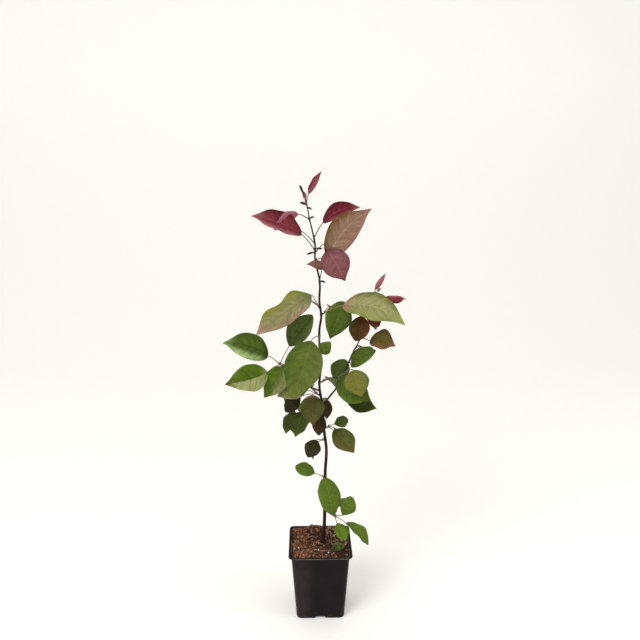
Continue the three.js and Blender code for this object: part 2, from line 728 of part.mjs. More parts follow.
// The compost: fills the pot to just below the rim and mounds up to a flat crown round the stem
function compostGeometry() {
  const rings = potInside(GAP, POT_FLOOR + GAP, COMPOST_EDGE);
  const width = POT_COLLAR_WIDTH - 2 * (POT_WALL + GAP);
  const crown = 2 * COMPOST_FLAT;
  for (const t of [0.25, 0.6, 1]) {
    const size = THREE.MathUtils.lerp(width, crown, t);
    const height = THREE.MathUtils.lerp(COMPOST_EDGE, COMPOST_CROWN, Math.sin((t * Math.PI) / 2));
    rings.push(squareRing(size, THREE.MathUtils.lerp(POT_CORNER, COMPOST_FLAT * 0.9, t), height));
  }
  return loft(rings);
}

// A named mesh with its own finish
function piece(name, geometry, colour, roughness) {
  const material = new THREE.MeshStandardMaterial({ color: colour, roughness, metalness: 0 });
  const mesh = new THREE.Mesh(geometry, material);
  mesh.name = name;
  return mesh;
}

const group = new THREE.Group();
group.add(piece("pot", geometryOf(potSolid()), 0x232021, 0.45));
group.add(piece("compost", geometryOf(solid(compostGeometry())), 0x6b432c, 0.95));
for (const name of Object.keys(LIMBS)) {
  const body = name === "trunk" ? limbSolid(name) : limbSolid(name).subtract(limbSolid("trunk", GAP));
  group.add(piece(name, geometryOf(body), LIMBS[name].colour, 0.55));
}
for (const entry of growMasses()) {
  group.add(piece(entry.name, geometryOf(massSolid(entry)), entry.mass.colour, 0.5));
}

export default group;
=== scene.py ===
"""A young crabapple whip in a black square nursery pot, finished round its solid parts."""

import math
from typing import NamedTuple

import bmesh
import bpy
import numpy as np
from bpy.props import FloatProperty, FloatVectorProperty, IntProperty, PointerProperty
from mathutils import Matrix, Vector


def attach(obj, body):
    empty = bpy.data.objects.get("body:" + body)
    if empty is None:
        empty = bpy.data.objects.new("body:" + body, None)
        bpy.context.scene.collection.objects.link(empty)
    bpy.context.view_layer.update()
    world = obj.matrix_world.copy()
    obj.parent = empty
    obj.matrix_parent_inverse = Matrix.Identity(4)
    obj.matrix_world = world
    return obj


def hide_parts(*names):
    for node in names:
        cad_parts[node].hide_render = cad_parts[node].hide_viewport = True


bl_info = {
    "name": "Potted crabapple",
    "version": (1, 0, 0),
    "blender": (4, 5, 0),
    "location": "3D view > Sidebar > Crabapple",
    "description": "Builds a young crabapple whip in a square nursery pot",
    "category": "Add Mesh",
}

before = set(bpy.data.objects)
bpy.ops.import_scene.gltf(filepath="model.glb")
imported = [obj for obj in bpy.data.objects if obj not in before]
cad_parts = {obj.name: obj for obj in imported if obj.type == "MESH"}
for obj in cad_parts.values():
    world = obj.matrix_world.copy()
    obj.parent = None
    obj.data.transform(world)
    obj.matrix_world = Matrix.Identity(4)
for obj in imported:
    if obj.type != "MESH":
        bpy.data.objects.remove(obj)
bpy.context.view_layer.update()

MM = 0.001
BODY = "root"

# Stem and limbs, in millimetres: points and radii from foot to tip
STEM_FOOT = 122.3
STEM_FLARE = 4.6
FLARE_HEIGHT = 16
GAP = 0.3
LIMBS = {
    "trunk": {
        "path": [
            [6, 0, STEM_FOOT], [8, 1, 166], [9, 2, 254], [11, 2, 299], [7, 1, 335], [4, 0, 379], [-1, 0, 414],
            [1, 0, 450], [-1, 0, 489], [-1, 0, 512], [2, 0, 535], [-1, 0, 561], [0, 0, 584],
        ],
        "radii": [3.2, 2.9, 2.5, 2.1, 1.9, 1.75],
    },
    "right_bough": {
        "path": [[4, 0, 379], [17, -1, 397], [26, -2, 409], [35, -3, 428], [43, -4, 444]],
        "radii": [1.9, 1.6, 1.4, 1.3],
    },
    "left_bough": {
        "path": [[-1, 0, 406], [-16, -1, 413], [-34, -4, 427], [-63, -8, 452]],
        "radii": [1.5, 1.3, 1.1, 1.0],
    },
    "foot_bough": {
        "path": [[8.5, 1.5, 211], [13, -3, 203], [19, -6, 191], [26, -9, 179]],
        "radii": [1.5, 1.3, 1.2, 1.1],
    },
}
LEADER = [
    [0, 0, 583.5], [-1, 0, 597], [-8, 0, 630], [-8, 0, 653], [-12, 0, 674], [-17, 0, 695], [-20, 0, 712], [-24, 0, 728],
]
STUB = {"path": [[8.6, 0, 228], [4, -2.5, 229], [-1.5, -4, 227], [-4.5, -4.5, 223.5]], "radii": [1.3, 1.6, 1.9, 0.7]}
SIDE_SHOOT = [[42.8, -4, 443.8], [55, -5, 475], [64, -5, 492], [75, -4, 525], [80, -3, 534], [90, 0, 572]]

# Leaf build, in millimetres
PETIOLE_RADIUS = 0.8
SLIM_PETIOLE = 0.35
PETIOLE_THICKENING = 0.015
PETIOLE_BOW = 0.06
PETIOLE_INSET = 0.12
SPUR_RADIUS = 1.25
SPUR_LENGTH = 3.5
CLEAR_OF_LEAF = 5
CLEAR_OF_LIMB = 3.5
LIMB_SPACING = 4
BASE_SHAPE = (0.6, 0.95)
END_SHAPE = (0.95, 0.55)
VEIN_SLOPE = 0.2
# How many light and dark streaks of painted sheen and painted crease shade lie along a blade, at the slope of its side
# veins
SHEEN_STREAK_ROWS = 11.0
# How much of its space's length a blade takes, which keeps its teeth and bends inside
BLADE_REACH = 0.98
VEIN_PAIRS = 7
# Where a blade narrows to its tip and bends, as parts of its length, and its least half widths
TIP_NARROWING = 0.28
TIP_SPAN = (0.74, 0.97)
CURL_FROM = 0.62
HOOK_FROM = 0.55
LEAST_HALF_WIDTHS = (0.35, 0.09)
LONGEST_TOOTH = 0.4
TOOTH_SHARE = 0.008
BUD_LENGTH = 3.6
BUD_STEPS = 9
PETIOLE_STEPS = 20
# Widths of the midrib and the side veins on a blade's half width and on the space between two veins
MIDRIB_WIDTH = 0.07
RIB_WIDTH = 0.09
VEIN_WIDTH = 0.14
# A leaf's places run from one margin to the other, and its under side's lie 2 further across
PLACE_MARGIN = 0.02
PLACE_HALF = 0.48
# A leaf with no longer petiole has none of its own and no bud
LONGEST_BARE = 4

# How far the fill leaves differ from one another
FILL_PLACE = (-0.15, 0.15)
FILL_SIZE = (0.88, 1.12)
FILL_RISE = (-8, 8)
FILL_PETIOLE = (0.85, 1.15)
FILL_TURN = (-8, 8)
FILL_DROOP = (38, 52)
FILL_TILT = (38, 50)
FILL_FOLD = (8, 18)
FILL_ARCH = 0.1
FILL_WIDEST = (0.42, 0.5)


def leaf(petiole, blade, face, form, tint, at=None, **look):
    """One leaf: petiole (heading, rise, length), blade (heading, rise, length, width), face (heading, tilt),
    form (fold, arch, sweep, widest, blunt), its tint, its height on a shoot, and how its blade is bent and waved."""
    form = (*form, 0)[:5]
    return {"petiole": petiole, "blade": blade, "face": face, "form": form, "tint": tint, "at": at, "look": look}


def scale(heading, rise, blade, at):
    """A scale leaf: small, dark and close to its shoot."""
    return leaf((heading, rise, 0.5), blade, (268, 62), (10, 0.1, 0, 0.6, 0.6), "maroon", at)


class Fill(NamedTuple):
    """The leaves round a mass's back, spread between two headings by a seeded rule."""

    seed: int
    count: int
    headings: tuple
    rise: float
    petiole: float
    length: float
    width: float
    tint: str


MASSES = {
    "leader_shoot": dict(shoot=LEADER, radii=[1.7, 1.55, 1.35, 1.1, 0.8], stalk="dark_stalk", leaves=[
        leaf((330, 75, 15), (350, 60, 42, 12), (250, 75), (20, 0.02, 0, 0.45), "pink", at=719, curl=0.05),
        leaf((180, 70, 6), (200, 67, 18, 4), (270, 50), (10, 0, 0, 0.8), "maroon", at=726),
        leaf((200, 60, 1), (178, 46, 9, 3), (270, 50), (20, 0.15, 0, 0.5), "down", at=722),
        leaf((60, 70, 1), (75, 66, 9, 3.4), (270, 60), (20, 0.1, 0, 0.5), "down", at=724),
        leaf((190, 0, 1), (186, 14, 9, 2.4), (270, 50), (20, 0.3, 0, 0.5), "down", at=719),
        leaf((150, 73, 1), (130, 69, 12, 7), (270, 60), (20, 0, 0, 0.42), "mauve", at=726),
        leaf((203, 50, 36), (195, 21, 88, 40), (270, 52), (20, 0.08, 0.02, 0.48), "ruby", at=643, wave=1.6),
        leaf((198, 26, 21), (212, -26, 52, 28), (90, 50), (16, 0.05, 0, 0.42), "mauve", at=693),
        leaf((352, 60, 29), (14, 20, 70, 28), (262, 60), (20, 0.08, -0.1, 0.45), "deep_ruby", at=663),
        leaf((320, 14, 26), (343, 50, 107, 47), (262, 74), (10, 0.04, -0.06, 0.44), "clay", at=628, wave=1.4),
        leaf((300, 66, 57), (324, -54, 58, 46), (262, 78), (8, 0.06, -0.04, 0.44), "rose", at=594),
        leaf((315, -16, 18), (193, 19, 29, 16), (262, 60), (20, 0.12, 0, 0.42), "rosewood", at=622, curl=0.2),
        scale(180, 26, (190, 21, 12, 4), 716),
        scale(0, -25, (340, -25, 8, 3.4), 713),
        scale(0, 8, (344, 22, 8, 3.4), 695),
        scale(0, -5, (349, -2, 12, 3.6), 647),
        scale(180, 0, (189, -15, 14, 3.6), 641),
        scale(0, -15, (347, -12, 10, 3.6), 594),
        leaf((144, 32, 42), (146, 4, 60, 34), (146, 34), (14, 0.1, 0, 0.45), "deep_ruby", at=655),
        leaf((51, 25, 35), (43, 12, 54, 32), (43, 36), (12, 0.1, 0, 0.45), "ruby", at=640),
    ]),
    "upper_left_leaves": dict(spur=[-1, 0, 549], stalk="brown_stalk", leaves=[
        leaf((220, 54, 25), (203, -31, 112, 46), (268, 54), (12, 0.06, -0.01, 0.38, 0.5), "blush_olive",
             wave=3.4, waves=1.7, frill=0.17, frills=1.6),
    ], fill=Fill(11, 2, (115, 175), 16, 26, 62, 34, "green")),
    "upper_right_leaves": dict(spur=[2, 0, 538], stalk="brown_stalk", leaves=[
        leaf((339, 25, 37), (334, -13, 110, 48), (268, 58), (10, 0.1, -0.1, 0.45), "pale_olive", wave=1.8),
        leaf((20, 26, 40), (208, -66, 68, 44), (280, 70), (12, 0.06, 0, 0.42), "green"),
    ], fill=Fill(12, 2, (25, 75), 10, 28, 66, 36, "pale_olive")),
    "left_leaves": dict(tip="left_bough", stalk="brown_stalk", leaves=[
        leaf((192, 40, 25), (196, 21, 81, 44), (268, 62), (10, 0.05, 0.07, 0.45), "sheen_green", wave=1.8),
        leaf((214, -20, 26), (211, -5, 78, 46), (268, 58), (10, 0.06, -0.06, 0.45), "half_green"),
        leaf((344, 63, 36), (6, 52, 66, 38), (268, 72), (8, 0.05, -0.06, 0.45, 0.8), "deep_green"),
        leaf((306, -22, 6), (218, -53, 60, 40), (262, 66), (20, 0.06, -0.09, 0.42, 0.2), "split_green", wave=1.6),
    ], fill=Fill(13, 1, (60, 80), -10, 26, 60, 34, "deep_green")),
    "front_leaves": dict(spur=[0, 0, 502], stalk="green_stalk", leaves=[
        leaf((251, 3, 41), (232, -61, 99, 60), (268, 80), (8, 0.05, 0, 0.38, 0.5), "mid_green"),
        leaf((285, -66, 29), (338, 52, 27, 22), (268, 60), (10, 0.05, 0, 0.42, 0.7), "mid_green"),
    ]),
    "middle_left_leaves": dict(spur=[-1, 0, 398], stalk="brown_stalk", leaves=[
        leaf((207, 38, 38), (206, -20, 48, 34), (262, 60), (16, 0.08, -0.1, 0.45), "grey_green"),
        leaf((170, -12, 30), (192, -44, 38, 26), (262, 60), (14, 0.12, 0, 0.5, 0.5), "black_green"),
    ], fill=Fill(14, 2, (105, 160), 12, 24, 58, 34, "deep_green")),
    "bough_foot_leaves": dict(spur=[0, 0, 421], stalk="brown_stalk", leaves=[
        leaf((30, 3, 23), (6, 58, 40, 33), (270, 72), (8, 0.05, 0, 0.5, 0.9), "deep_green"),
    ], fill=Fill(15, 2, (30, 75), 8, 24, 56, 32, "green")),
    "right_lower_leaves": dict(spur=[40, -3.6, 438], stalk="green_stalk", leaves=[
        leaf((291, 23, 35), (297, -57, 46, 41), (268, 78), (6, 0.05, 0, 0.42, 0.3), "yellow_olive"),
        leaf((229, -12, 19), (339, -32, 67, 46), (262, 68), (8, 0.06, 0.03, 0.45), "green"),
        leaf((60, -84, 44), (345, -16, 56, 30), (265, 62), (14, -0.04, 0.05, 0.5), "shade_green"),
    ], fill=Fill(16, 2, (40, 90), 2, 22, 56, 34, "green")),
    "right_shoot": dict(shoot=SIDE_SHOOT, radii=[1.25, 1.15, 1, 0.85, 0.65], stalk="dark_stalk", leaves=[
        leaf((315, -58, 11), (334, 41, 54, 27), (266, 66), (10, 0.05, -0.1, 0.5, 0.8), "green", at=459),
        leaf((221, 49, 14), (235, -64, 44, 34), (268, 74), (8, 0.05, 0, 0.5, 0.7), "chestnut", at=527),
        leaf((58, 28, 8), (10, -56, 28, 24), (268, 66), (14, 0.05, 0, 0.42), "wine", at=534),
        leaf((343, -13, 17), (328, -5, 46, 34), (266, 62), (12, 0.12, -0.12, 0.55), "russet", at=499),
        leaf((0, 85, 8), (353, 59, 33, 9), (260, 75), (14, 0.04, 0, 0.42), "mauve", at=571),
        leaf((0, 51, 6), (0, 46, 9, 4), (260, 70), (10, 0, 0, 0.5), "rosewood", at=571),
        leaf((17, -6, 21), (353, 0, 33, 15), (268, 60), (20, 0, 0.12, 0.5), "ruby", at=567),
        leaf((70, 25, 20), (62, -30, 50, 30), (62, 40), (12, 0.1, 0, 0.45), "russet", at=516),
        leaf((63, -5, 22), (56, -29, 42, 27), (56, 42), (12, 0.1, 0, 0.45), "green", at=480),
    ]),
    "middle_front_leaves": dict(spur=[4, 0, 379], stalk="brown_stalk", leaves=[
        leaf((238, 41, 40), (275, -62, 51, 40), (262, 78), (10, 0.05, 0, 0.45), "bronze"),
        leaf((257, -39, 16), (259, -75, 39, 24), (268, 76), (8, 0.04, 0, 0.5, 0.4), "umber"),
        leaf((207, -11, 36), (241, -55, 44, 36), (255, 66), (14, 0.08, 0, 0.42), "shade_green", frill=0.1, frills=2),
        leaf((192, -8, 46), (217, -62, 43, 22), (250, 60), (16, 0.1, 0, 0.55), "shade_green", frill=0.1, frills=2),
        leaf((337, 45, 15), (261, -80, 34, 18), (275, 66), (12, 0.05, 0, 0.42, 0.4), "umber"),
    ], fill=Fill(17, 2, (80, 140), 6, 24, 52, 32, "deep_green")),
    "low_right_leaves": dict(spur=[9, 0, 339], stalk="brown_stalk", leaves=[
        leaf((9, 22, 12), (355, 18, 26, 20), (266, 60), (8, 0.08, 0, 0.6, 0.9), "deep_green"),
        leaf((325, -16, 12), (322, -35, 53, 36), (266, 66), (12, 0.1, -0.04, 0.5, 0.3), "olive"),
    ], fill=Fill(18, 1, (30, 50), -20, 18, 36, 24, "green")),
    "low_left_leaves": dict(spur=[10, 0, 317], stalk="brown_stalk", leaves=[
        leaf((214, 14, 15), (234, -42, 35, 28), (266, 70), (10, 0.06, 0, 0.5, 0.5), "black_green"),
    ], fill=Fill(19, 1, (125, 150), -28, 16, 38, 26, "shade_green")),
    "lowest_left_leaves": dict(spur=[9, 0, 247], stalk="green_stalk", leaves=[
        leaf((202, 32, 18), (205, 30, 42, 23), (266, 58), (8, 0.08, 0, 0.62, 1), "fresh_green"),
    ]),
    "foot_leaves": dict(tip="foot_bough", stalk="green_stalk", leaves=[
        leaf((258, 27, 13), (216, 76, 79, 38), (282, 80), (8, 0.04, 0, 0.62, 1), "fresh_green"),
        leaf((355, 8, 14), (327, 65, 44, 27), (268, 72), (8, 0.05, 0.03, 0.6, 1), "fresh_green"),
        leaf((284, -24, 15), (301, -35, 34, 24), (280, 50), (10, 0.06, 0, 0.55, 0.8), "bright_green"),
        leaf((343, -26, 22), (330, -34, 55, 19), (262, 62), (18, 0.15, -0.14, 0.6, 0.3), "fresh_green", frill=0.1),
    ], fill=Fill(20, 1, (50, 90), 40, 16, 40, 26, "fresh_green")),
}


# How far the green tints lean towards olive, on a scale of 0 to 255
OLIVE_LEAN = (5, -7, -17)
LEANING_SLOTS = ("green_leaf", "dark_leaf")
TINT_PARTS = ("Centre", "Low", "High", "Tip", "Base", "Vein", "Beneath")


def linear(colour):
    """A colour of 0 to 255 as linear light with full cover."""
    parts = [c / 255 for c in colour]
    return (*[c / 12.92 if c <= 0.04045 else ((c + 0.055) / 1.055) ** 2.4 for c in parts], 1.0)


def tint(slot, centre, low=None, high=None, tip=None, base=None, vein=None, under=None, reach=0.35, full=0.95):
    """A leaf's colours, 0 to 255: its middle, its two edges, its ends, its veins and its under side.
    The edge colours begin at reach, a part of the way out from the midrib, and are whole at full."""
    vein = vein or tuple(min(255, c + 26) for c in centre)
    under = under or tuple(int(c + (205 - c) * 0.3) for c in centre)
    lean = OLIVE_LEAN if slot in LEANING_SLOTS else (0, 0, 0)
    inputs = {"Reach": reach, "Full": full}
    for part, colour in zip(TINT_PARTS, (centre, low, high, tip, base, vein, under)):
        inputs[part] = linear([min(255, max(4, c + by)) for c, by in zip(colour or centre, lean)])
    return slot, inputs


TINTS = {
    "ruby": tint("ruby_leaf", (116, 42, 50), (160, 96, 100), (84, 14, 28), (152, 92, 98), (100, 36, 40), (142, 70, 74)),
    "deep_ruby": tint("ruby_leaf", (100, 24, 38), (78, 10, 26), (140, 66, 74), (140, 78, 82), (78, 12, 28),
                      (136, 62, 68)),
    "mauve": tint("ruby_leaf", (152, 90, 98), (186, 140, 144), (140, 70, 82), (164, 104, 114), (130, 70, 80),
                  under=(152, 88, 104)),
    "clay": tint("ruby_leaf", (138, 106, 86), (106, 76, 34), (142, 100, 88), (150, 108, 98), (84, 28, 26),
                 (152, 130, 104)),
    "rose": tint("ruby_leaf", (125, 74, 75), (115, 64, 66), (120, 70, 70), (110, 58, 60), (100, 50, 58), (140, 95, 90)),
    "rosewood": tint("ruby_leaf", (128, 86, 76), (110, 60, 56), (120, 74, 68), (72, 32, 40), (130, 90, 80)),
    "pink": tint("ruby_leaf", (124, 48, 62), (106, 30, 46), (152, 92, 100), (110, 50, 60), (150, 90, 100),
                 (176, 124, 134)),
    "maroon": tint("ruby_leaf", (60, 28, 34), vein=(80, 44, 48)),
    "down": tint("ruby_leaf", (206, 172, 168), under=(214, 186, 182)),
    "chestnut": tint("bronze_leaf", (70, 44, 8), (104, 46, 14), (54, 52, 12), (52, 50, 10), (98, 48, 10), (60, 38, 10)),
    "wine": tint("bronze_leaf", (88, 26, 18), (76, 14, 12), (96, 40, 20), (70, 12, 12), (126, 88, 24)),
    "russet": tint("bronze_leaf", (94, 84, 32), (80, 68, 24), (124, 78, 58), (126, 80, 64), (84, 64, 24),
                   (112, 92, 44)),
    "bronze": tint("dark_leaf", (76, 86, 48), (62, 88, 42), (68, 88, 44), (78, 76, 48), (115, 105, 85), (95, 92, 62)),
    "umber": tint("dark_leaf", (50, 48, 34), (40, 48, 30), (64, 56, 42), (44, 42, 30), (42, 40, 28), (66, 60, 44)),
    "blush_olive": tint("olive_leaf", (130, 130, 84), (150, 124, 102), (124, 124, 42), (160, 130, 112), (88, 110, 60),
                        (136, 102, 74), reach=0.22),
    "pale_olive": tint("olive_leaf", (146, 144, 90), (108, 110, 58), (132, 138, 72), (142, 148, 84), (150, 120, 92),
                       (160, 160, 106)),
    "yellow_olive": tint("olive_leaf", (108, 108, 40), (90, 102, 38), (104, 106, 38), (112, 106, 42), (95, 100, 38),
                         (120, 115, 50)),
    "olive": tint("olive_leaf", (80, 80, 30), (74, 82, 30), (92, 80, 40), (96, 82, 42), (62, 72, 28), (92, 88, 40)),
    "mid_green": tint("green_leaf", (82, 108, 50), (92, 114, 62), (66, 104, 44), (100, 122, 60), (70, 96, 42),
                      (98, 112, 62)),
    "green": tint("green_leaf", (66, 98, 38), (58, 88, 34), (80, 112, 44), (60, 86, 36), (58, 84, 36), (86, 116, 56)),
    "split_green": tint("green_leaf", (80, 108, 48), (114, 126, 90), (72, 112, 36), (92, 114, 58), (58, 88, 28),
                        (92, 116, 60), reach=0.1, full=0.5),
    "sheen_green": tint("green_leaf", (68, 98, 42), (142, 176, 122), (60, 92, 38), (112, 148, 94), (42, 64, 26),
                        (44, 70, 30), reach=0.3, full=0.8),
    "half_green": tint("green_leaf", (88, 128, 44), (150, 164, 120), (76, 112, 34), (88, 80, 42), (124, 152, 88),
                       (52, 76, 28), reach=-0.02, full=0.1),
    "deep_green": tint("green_leaf", (66, 96, 50), (58, 88, 44), (82, 112, 66), (62, 90, 44), (62, 90, 48),
                       (88, 114, 72)),
    "grey_green": tint("green_leaf", (116, 132, 84), (132, 142, 104), (110, 134, 78), (112, 118, 86), (116, 110, 86)),
    "shade_green": tint("dark_leaf", (48, 72, 28), (56, 84, 32), (44, 64, 28), (78, 106, 40), (42, 60, 26),
                        (66, 90, 42)),
    "black_green": tint("dark_leaf", (40, 50, 26), (34, 46, 24), (52, 58, 28), (36, 44, 22), (36, 42, 22),
                        (58, 66, 38)),
    "fresh_green": tint("green_leaf", (78, 112, 42), (84, 122, 46), (72, 104, 42), (76, 108, 40), (72, 104, 42),
                        (96, 128, 60)),
    "bright_green": tint("green_leaf", (84, 122, 36), (78, 114, 34), (92, 128, 42), (92, 130, 44), (84, 122, 42),
                         (112, 150, 66)),
}


# Shapes and rules


def seeded(seed):
    """A repeatable stream of numbers from 0 to 1."""
    whole = 0xFFFFFFFF
    state = seed & whole

    def step():
        nonlocal state
        state = (state + 0x6D2B79F5) & whole
        t = state
        t = ((t ^ (t >> 15)) * (t | 1)) & whole
        t ^= (t + ((t ^ (t >> 7)) * (t | 61) & whole)) & whole
        return ((t ^ (t >> 14)) & whole) / 4294967296

    return step


def lerp(a, b, t):
    return a + (b - a) * t


def unit(v):
    return v / np.maximum(np.linalg.norm(v, axis=-1, keepdims=True), 1e-12)


def smoothstep(low, high, value):
    t = np.clip((value - low) / (high - low), 0, 1)
    return t * t * (3 - 2 * t)


def direction(heading, rise):
    """A unit vector from a compass heading and a rise above the level, in degrees."""
    h, r = math.radians(heading), math.radians(rise)
    return np.array([math.cos(h) * math.cos(r), math.sin(h) * math.cos(r), math.sin(r)])


def along(values, t):
    """The values at places t of a list spread evenly from 0 to 1."""
    return np.interp(t, np.linspace(0, 1, len(values)), values)


def spread(points, count, endpoint=True):
    """Evenly spaced points along a chain of points."""
    length = np.r_[0, np.cumsum(np.linalg.norm(np.diff(points, axis=0), axis=1))]
    at = np.linspace(0, length[-1], count, endpoint=endpoint)
    return np.stack([np.interp(at, length, points[:, k]) for k in range(3)], 1)


def smooth_path(points, count):
    """Evenly spaced points on a smooth curve through the given ones."""
    p = np.array(points, float)
    p = np.vstack([2 * p[0] - p[1], p, 2 * p[-1] - p[-2]])
    t = np.linspace(0, 1, 40, endpoint=False)[:, None]
    dense = []
    for a, b, c, d in zip(p, p[1:], p[2:], p[3:]):
        ab, bc, cd = (np.linalg.norm(v) ** 0.5 for v in (b - a, c - b, d - c))
        leave = ((b - a) / ab - (c - a) / (ab + bc) + (c - b) / bc) * bc
        reach = ((c - b) / bc - (d - b) / (bc + cd) + (d - c) / cd) * bc
        dense.append(b + leave * t + (3 * (c - b) - 2 * leave - reach) * t**2 + (2 * (b - c) + leave + reach) * t**3)
    return spread(np.vstack([*dense, p[-2][None]]), count)


def path_length(points):
    return float(np.linalg.norm(np.diff(np.array(points, float), axis=0), axis=1).sum())


def ripple(points, seed, size):
    """A smooth seeded unevenness from about -1 to 1 at each point, its bumps about one size across."""
    random = seeded(seed)
    total = np.zeros(len(points))
    waves = 9
    for _ in range(waves):
        heading = direction(360 * random(), 180 * random() - 90)
        total += np.sin(points @ heading * (2 * math.pi / size) * lerp(0.6, 1.7, random()) + 6.283 * random())
    return total / math.sqrt(waves)


def outline(t, widest, blunt=0):
    """The leaf's half width at places t, as a part of its greatest."""
    rise = np.maximum(0, 1 - ((widest - t) / widest) ** 2) ** lerp(*BASE_SHAPE, blunt)
    fall = np.maximum(0, np.cos((math.pi / 2) * (t - widest) / (1 - widest))) ** lerp(*END_SHAPE, blunt)
    return np.where(t < widest, rise, fall)


def leaf_frame(one):
    """The axis, upper side and edge directions of a leaf."""
    axis = direction(*one["blade"][:2])
    face = direction(one["face"][0], 90 - one["face"][1])
    up = unit(face - axis * (face @ axis))
    return axis, up, np.cross(axis, up)


def blade_points(one, base, t, s):
    """Points on the plain blade at places t along it and s across it, from -1 to 1."""
    axis, up, side = leaf_frame(one)
    length, width = one["blade"][2:]
    fold, arch, sweep, widest, blunt = one["form"]
    half = outline(t, widest, blunt) * width / 2
    bow = 4 * t * (1 - t) * length
    angle = math.radians(fold)
    rise = bow * arch + np.abs(s) * half * math.sin(angle)
    across = bow * sweep + s * half * math.cos(angle)
    return base + (length * t)[..., None] * axis + rise[..., None] * up + across[..., None] * side


def height_on(path, height):
    """Where a shoot's path passes a height."""
    points = np.array(path, float)
    return np.array([np.interp(height, points[:, 2], points[:, k]) for k in range(3)])


def spur_root(mass):
    if "spur" in mass:
        return np.array(mass["spur"], float)
    before, tip = np.array(LIMBS[mass["tip"]]["path"][-2:], float)
    return tip + unit(tip - before) * GAP


def spur_end(mass):
    heading, rise, _ = mass["leaves"][0]["petiole"]
    return spur_root(mass) + direction(heading, rise) * (SPUR_LENGTH + SPUR_RADIUS)


def leaf_start(mass, one):
    return height_on(mass["shoot"], one["at"]) if "shoot" in mass else spur_end(mass)


def leaf_base(one, start):
    heading, rise, length = one["petiole"]
    return start + direction(heading, rise) * length


def leaf_samples(one, start):
    """Points over a leaf, used to keep leaves apart."""
    base = leaf_base(one, start)
    t, s = (grid.ravel() for grid in np.meshgrid([0.2, 0.4, 0.6, 0.8, 1.0], [-1.0, 0.0, 1.0], indexing="ij"))
    return np.vstack([lerp(start, base, 0.6), base, blade_points(one, base, t, s)])


def fill_leaves(fill):
    """A mass's fill leaves, by their seeded rule."""
    random = seeded(fill.seed)

    def within(pair):
        return lerp(*pair, random())

    made = []
    for i in range(fill.count):
        heading = lerp(*fill.headings, (i + 0.5 + within(FILL_PLACE)) / fill.count)
        size = within(FILL_SIZE)
        rise = fill.rise + within(FILL_RISE)
        petiole = (heading, rise, fill.petiole * within(FILL_PETIOLE))
        blade = (heading + within(FILL_TURN), rise - within(FILL_DROOP), fill.length * size, fill.width * size)
        face = (heading, within(FILL_TILT))
        form = (within(FILL_FOLD), FILL_ARCH, 0, within(FILL_WIDEST))
        made.append(leaf(petiole, blade, face, form, fill.tint))
    return made


def limb_samples():
    paths = [limb["path"] for limb in LIMBS.values()] + [LEADER, SIDE_SHOOT]
    return np.vstack([smooth_path(p, max(2, round(path_length(p) / LIMB_SPACING)) + 1) for p in paths])


def nearest(points, others):
    return float(np.linalg.norm(points[:, None] - others[None], axis=2).min())


def grow_masses():
    """Every mass with its leaves, the fill leaves less any that would touch a limb or another mass."""
    limbs = limb_samples()
    grown = {name: list(mass["leaves"]) for name, mass in MASSES.items()}
    for name, mass in MASSES.items():
        if "fill" not in mass:
            continue
        others = np.vstack([
            leaf_samples(one, leaf_start(MASSES[other], one)) for other, leaves in grown.items() if other != name
            for one in leaves
        ])
        for one in fill_leaves(mass["fill"]):
            samples = leaf_samples(one, leaf_start(mass, one))[1:]
            if nearest(samples, others) >= CLEAR_OF_LEAF and nearest(samples, limbs) >= CLEAR_OF_LIMB:
                grown[name].append(one)
    return grown


def leaf_look(one, index):
    """How a blade is bent and waved: what its row says, and a little seeded difference for the rest."""
    random = seeded(1000 + index * 17)
    look = {
        "wave": 0.5 + 0.9 * random(), "waves": 1.4 + 1.2 * random(), "frill": 0.02 + 0.03 * random(),
        "frills": 1.2 + 1.2 * random(), "curl": 0.02 + 0.05 * random(), "twist": 16 * (random() - 0.5),
        "hook": 0.06 * (random() - 0.5), "phase": random(), "phase_low": random(),
    }
    look.update(one["look"])
    return look


def blade_grid(one, base, look, settings):
    """The blade's middle surface as a grid of points, with its places along and across."""
    axis, up, side = leaf_frame(one)
    length, width = one["blade"][2:]
    fold, arch, sweep, widest, blunt = one["form"]
    rows = int(np.clip(length * MM / settings.row_spacing, 12, settings.most_rows))
    columns = 2 * int(np.clip(width * MM / settings.column_spacing / 2, 3, settings.most_columns / 2))
    t = np.linspace(0, 1, rows + 1)[:, None] * np.ones(columns + 1)
    s = np.linspace(-1, 1, columns + 1) * np.ones(rows + 1)[:, None]
    turn = math.radians(look["twist"]) * (t - 0.4)
    phase = np.where(s > 0, look["phase"], look["phase_low"])
    frill = 1 + look["frill"] * np.sin(2 * math.pi * (look["frills"] * t + phase)) * smoothstep(0, 0.2, t)
    point = 1 - TIP_NARROWING * (1 - blunt) * smoothstep(*TIP_SPAN, t)
    half = np.maximum(outline(t, widest, blunt) * width / 2 * frill * point, np.where(t < 0.5, *LEAST_HALF_WIDTHS))
    bow = 4 * t * (1 - t) * length
    angle = math.radians(fold)
    ridge = np.sqrt(s * s + 0.012) - 0.11
    swell = look["wave"] * (width / 40) * np.abs(s) ** 1.6 * np.sin(2 * math.pi * (look["waves"] * t + phase))
    droop = -look["curl"] * length * np.maximum(0, (t - CURL_FROM) / (1 - CURL_FROM)) ** 2
    rise = bow * arch + ridge * half * math.sin(angle) + swell * np.sin(math.pi * t) ** 0.5 + droop
    rise += vein_relief(t, s, length, settings)
    hook = look["hook"] * length * np.maximum(0, (t - HOOK_FROM) / (1 - HOOK_FROM)) ** 2
    push = teeth(t, s, rows, length)
    forward = length * t * BLADE_REACH + push
    across = s * half * math.cos(angle) + push * np.sign(s)
    lift = rise * np.cos(turn) + across * np.sin(turn)
    shift = across * np.cos(turn) - rise * np.sin(turn) + bow * sweep + hook
    points = base + forward[..., None] * axis + lift[..., None] * up + shift[..., None] * side
    return points, t, s


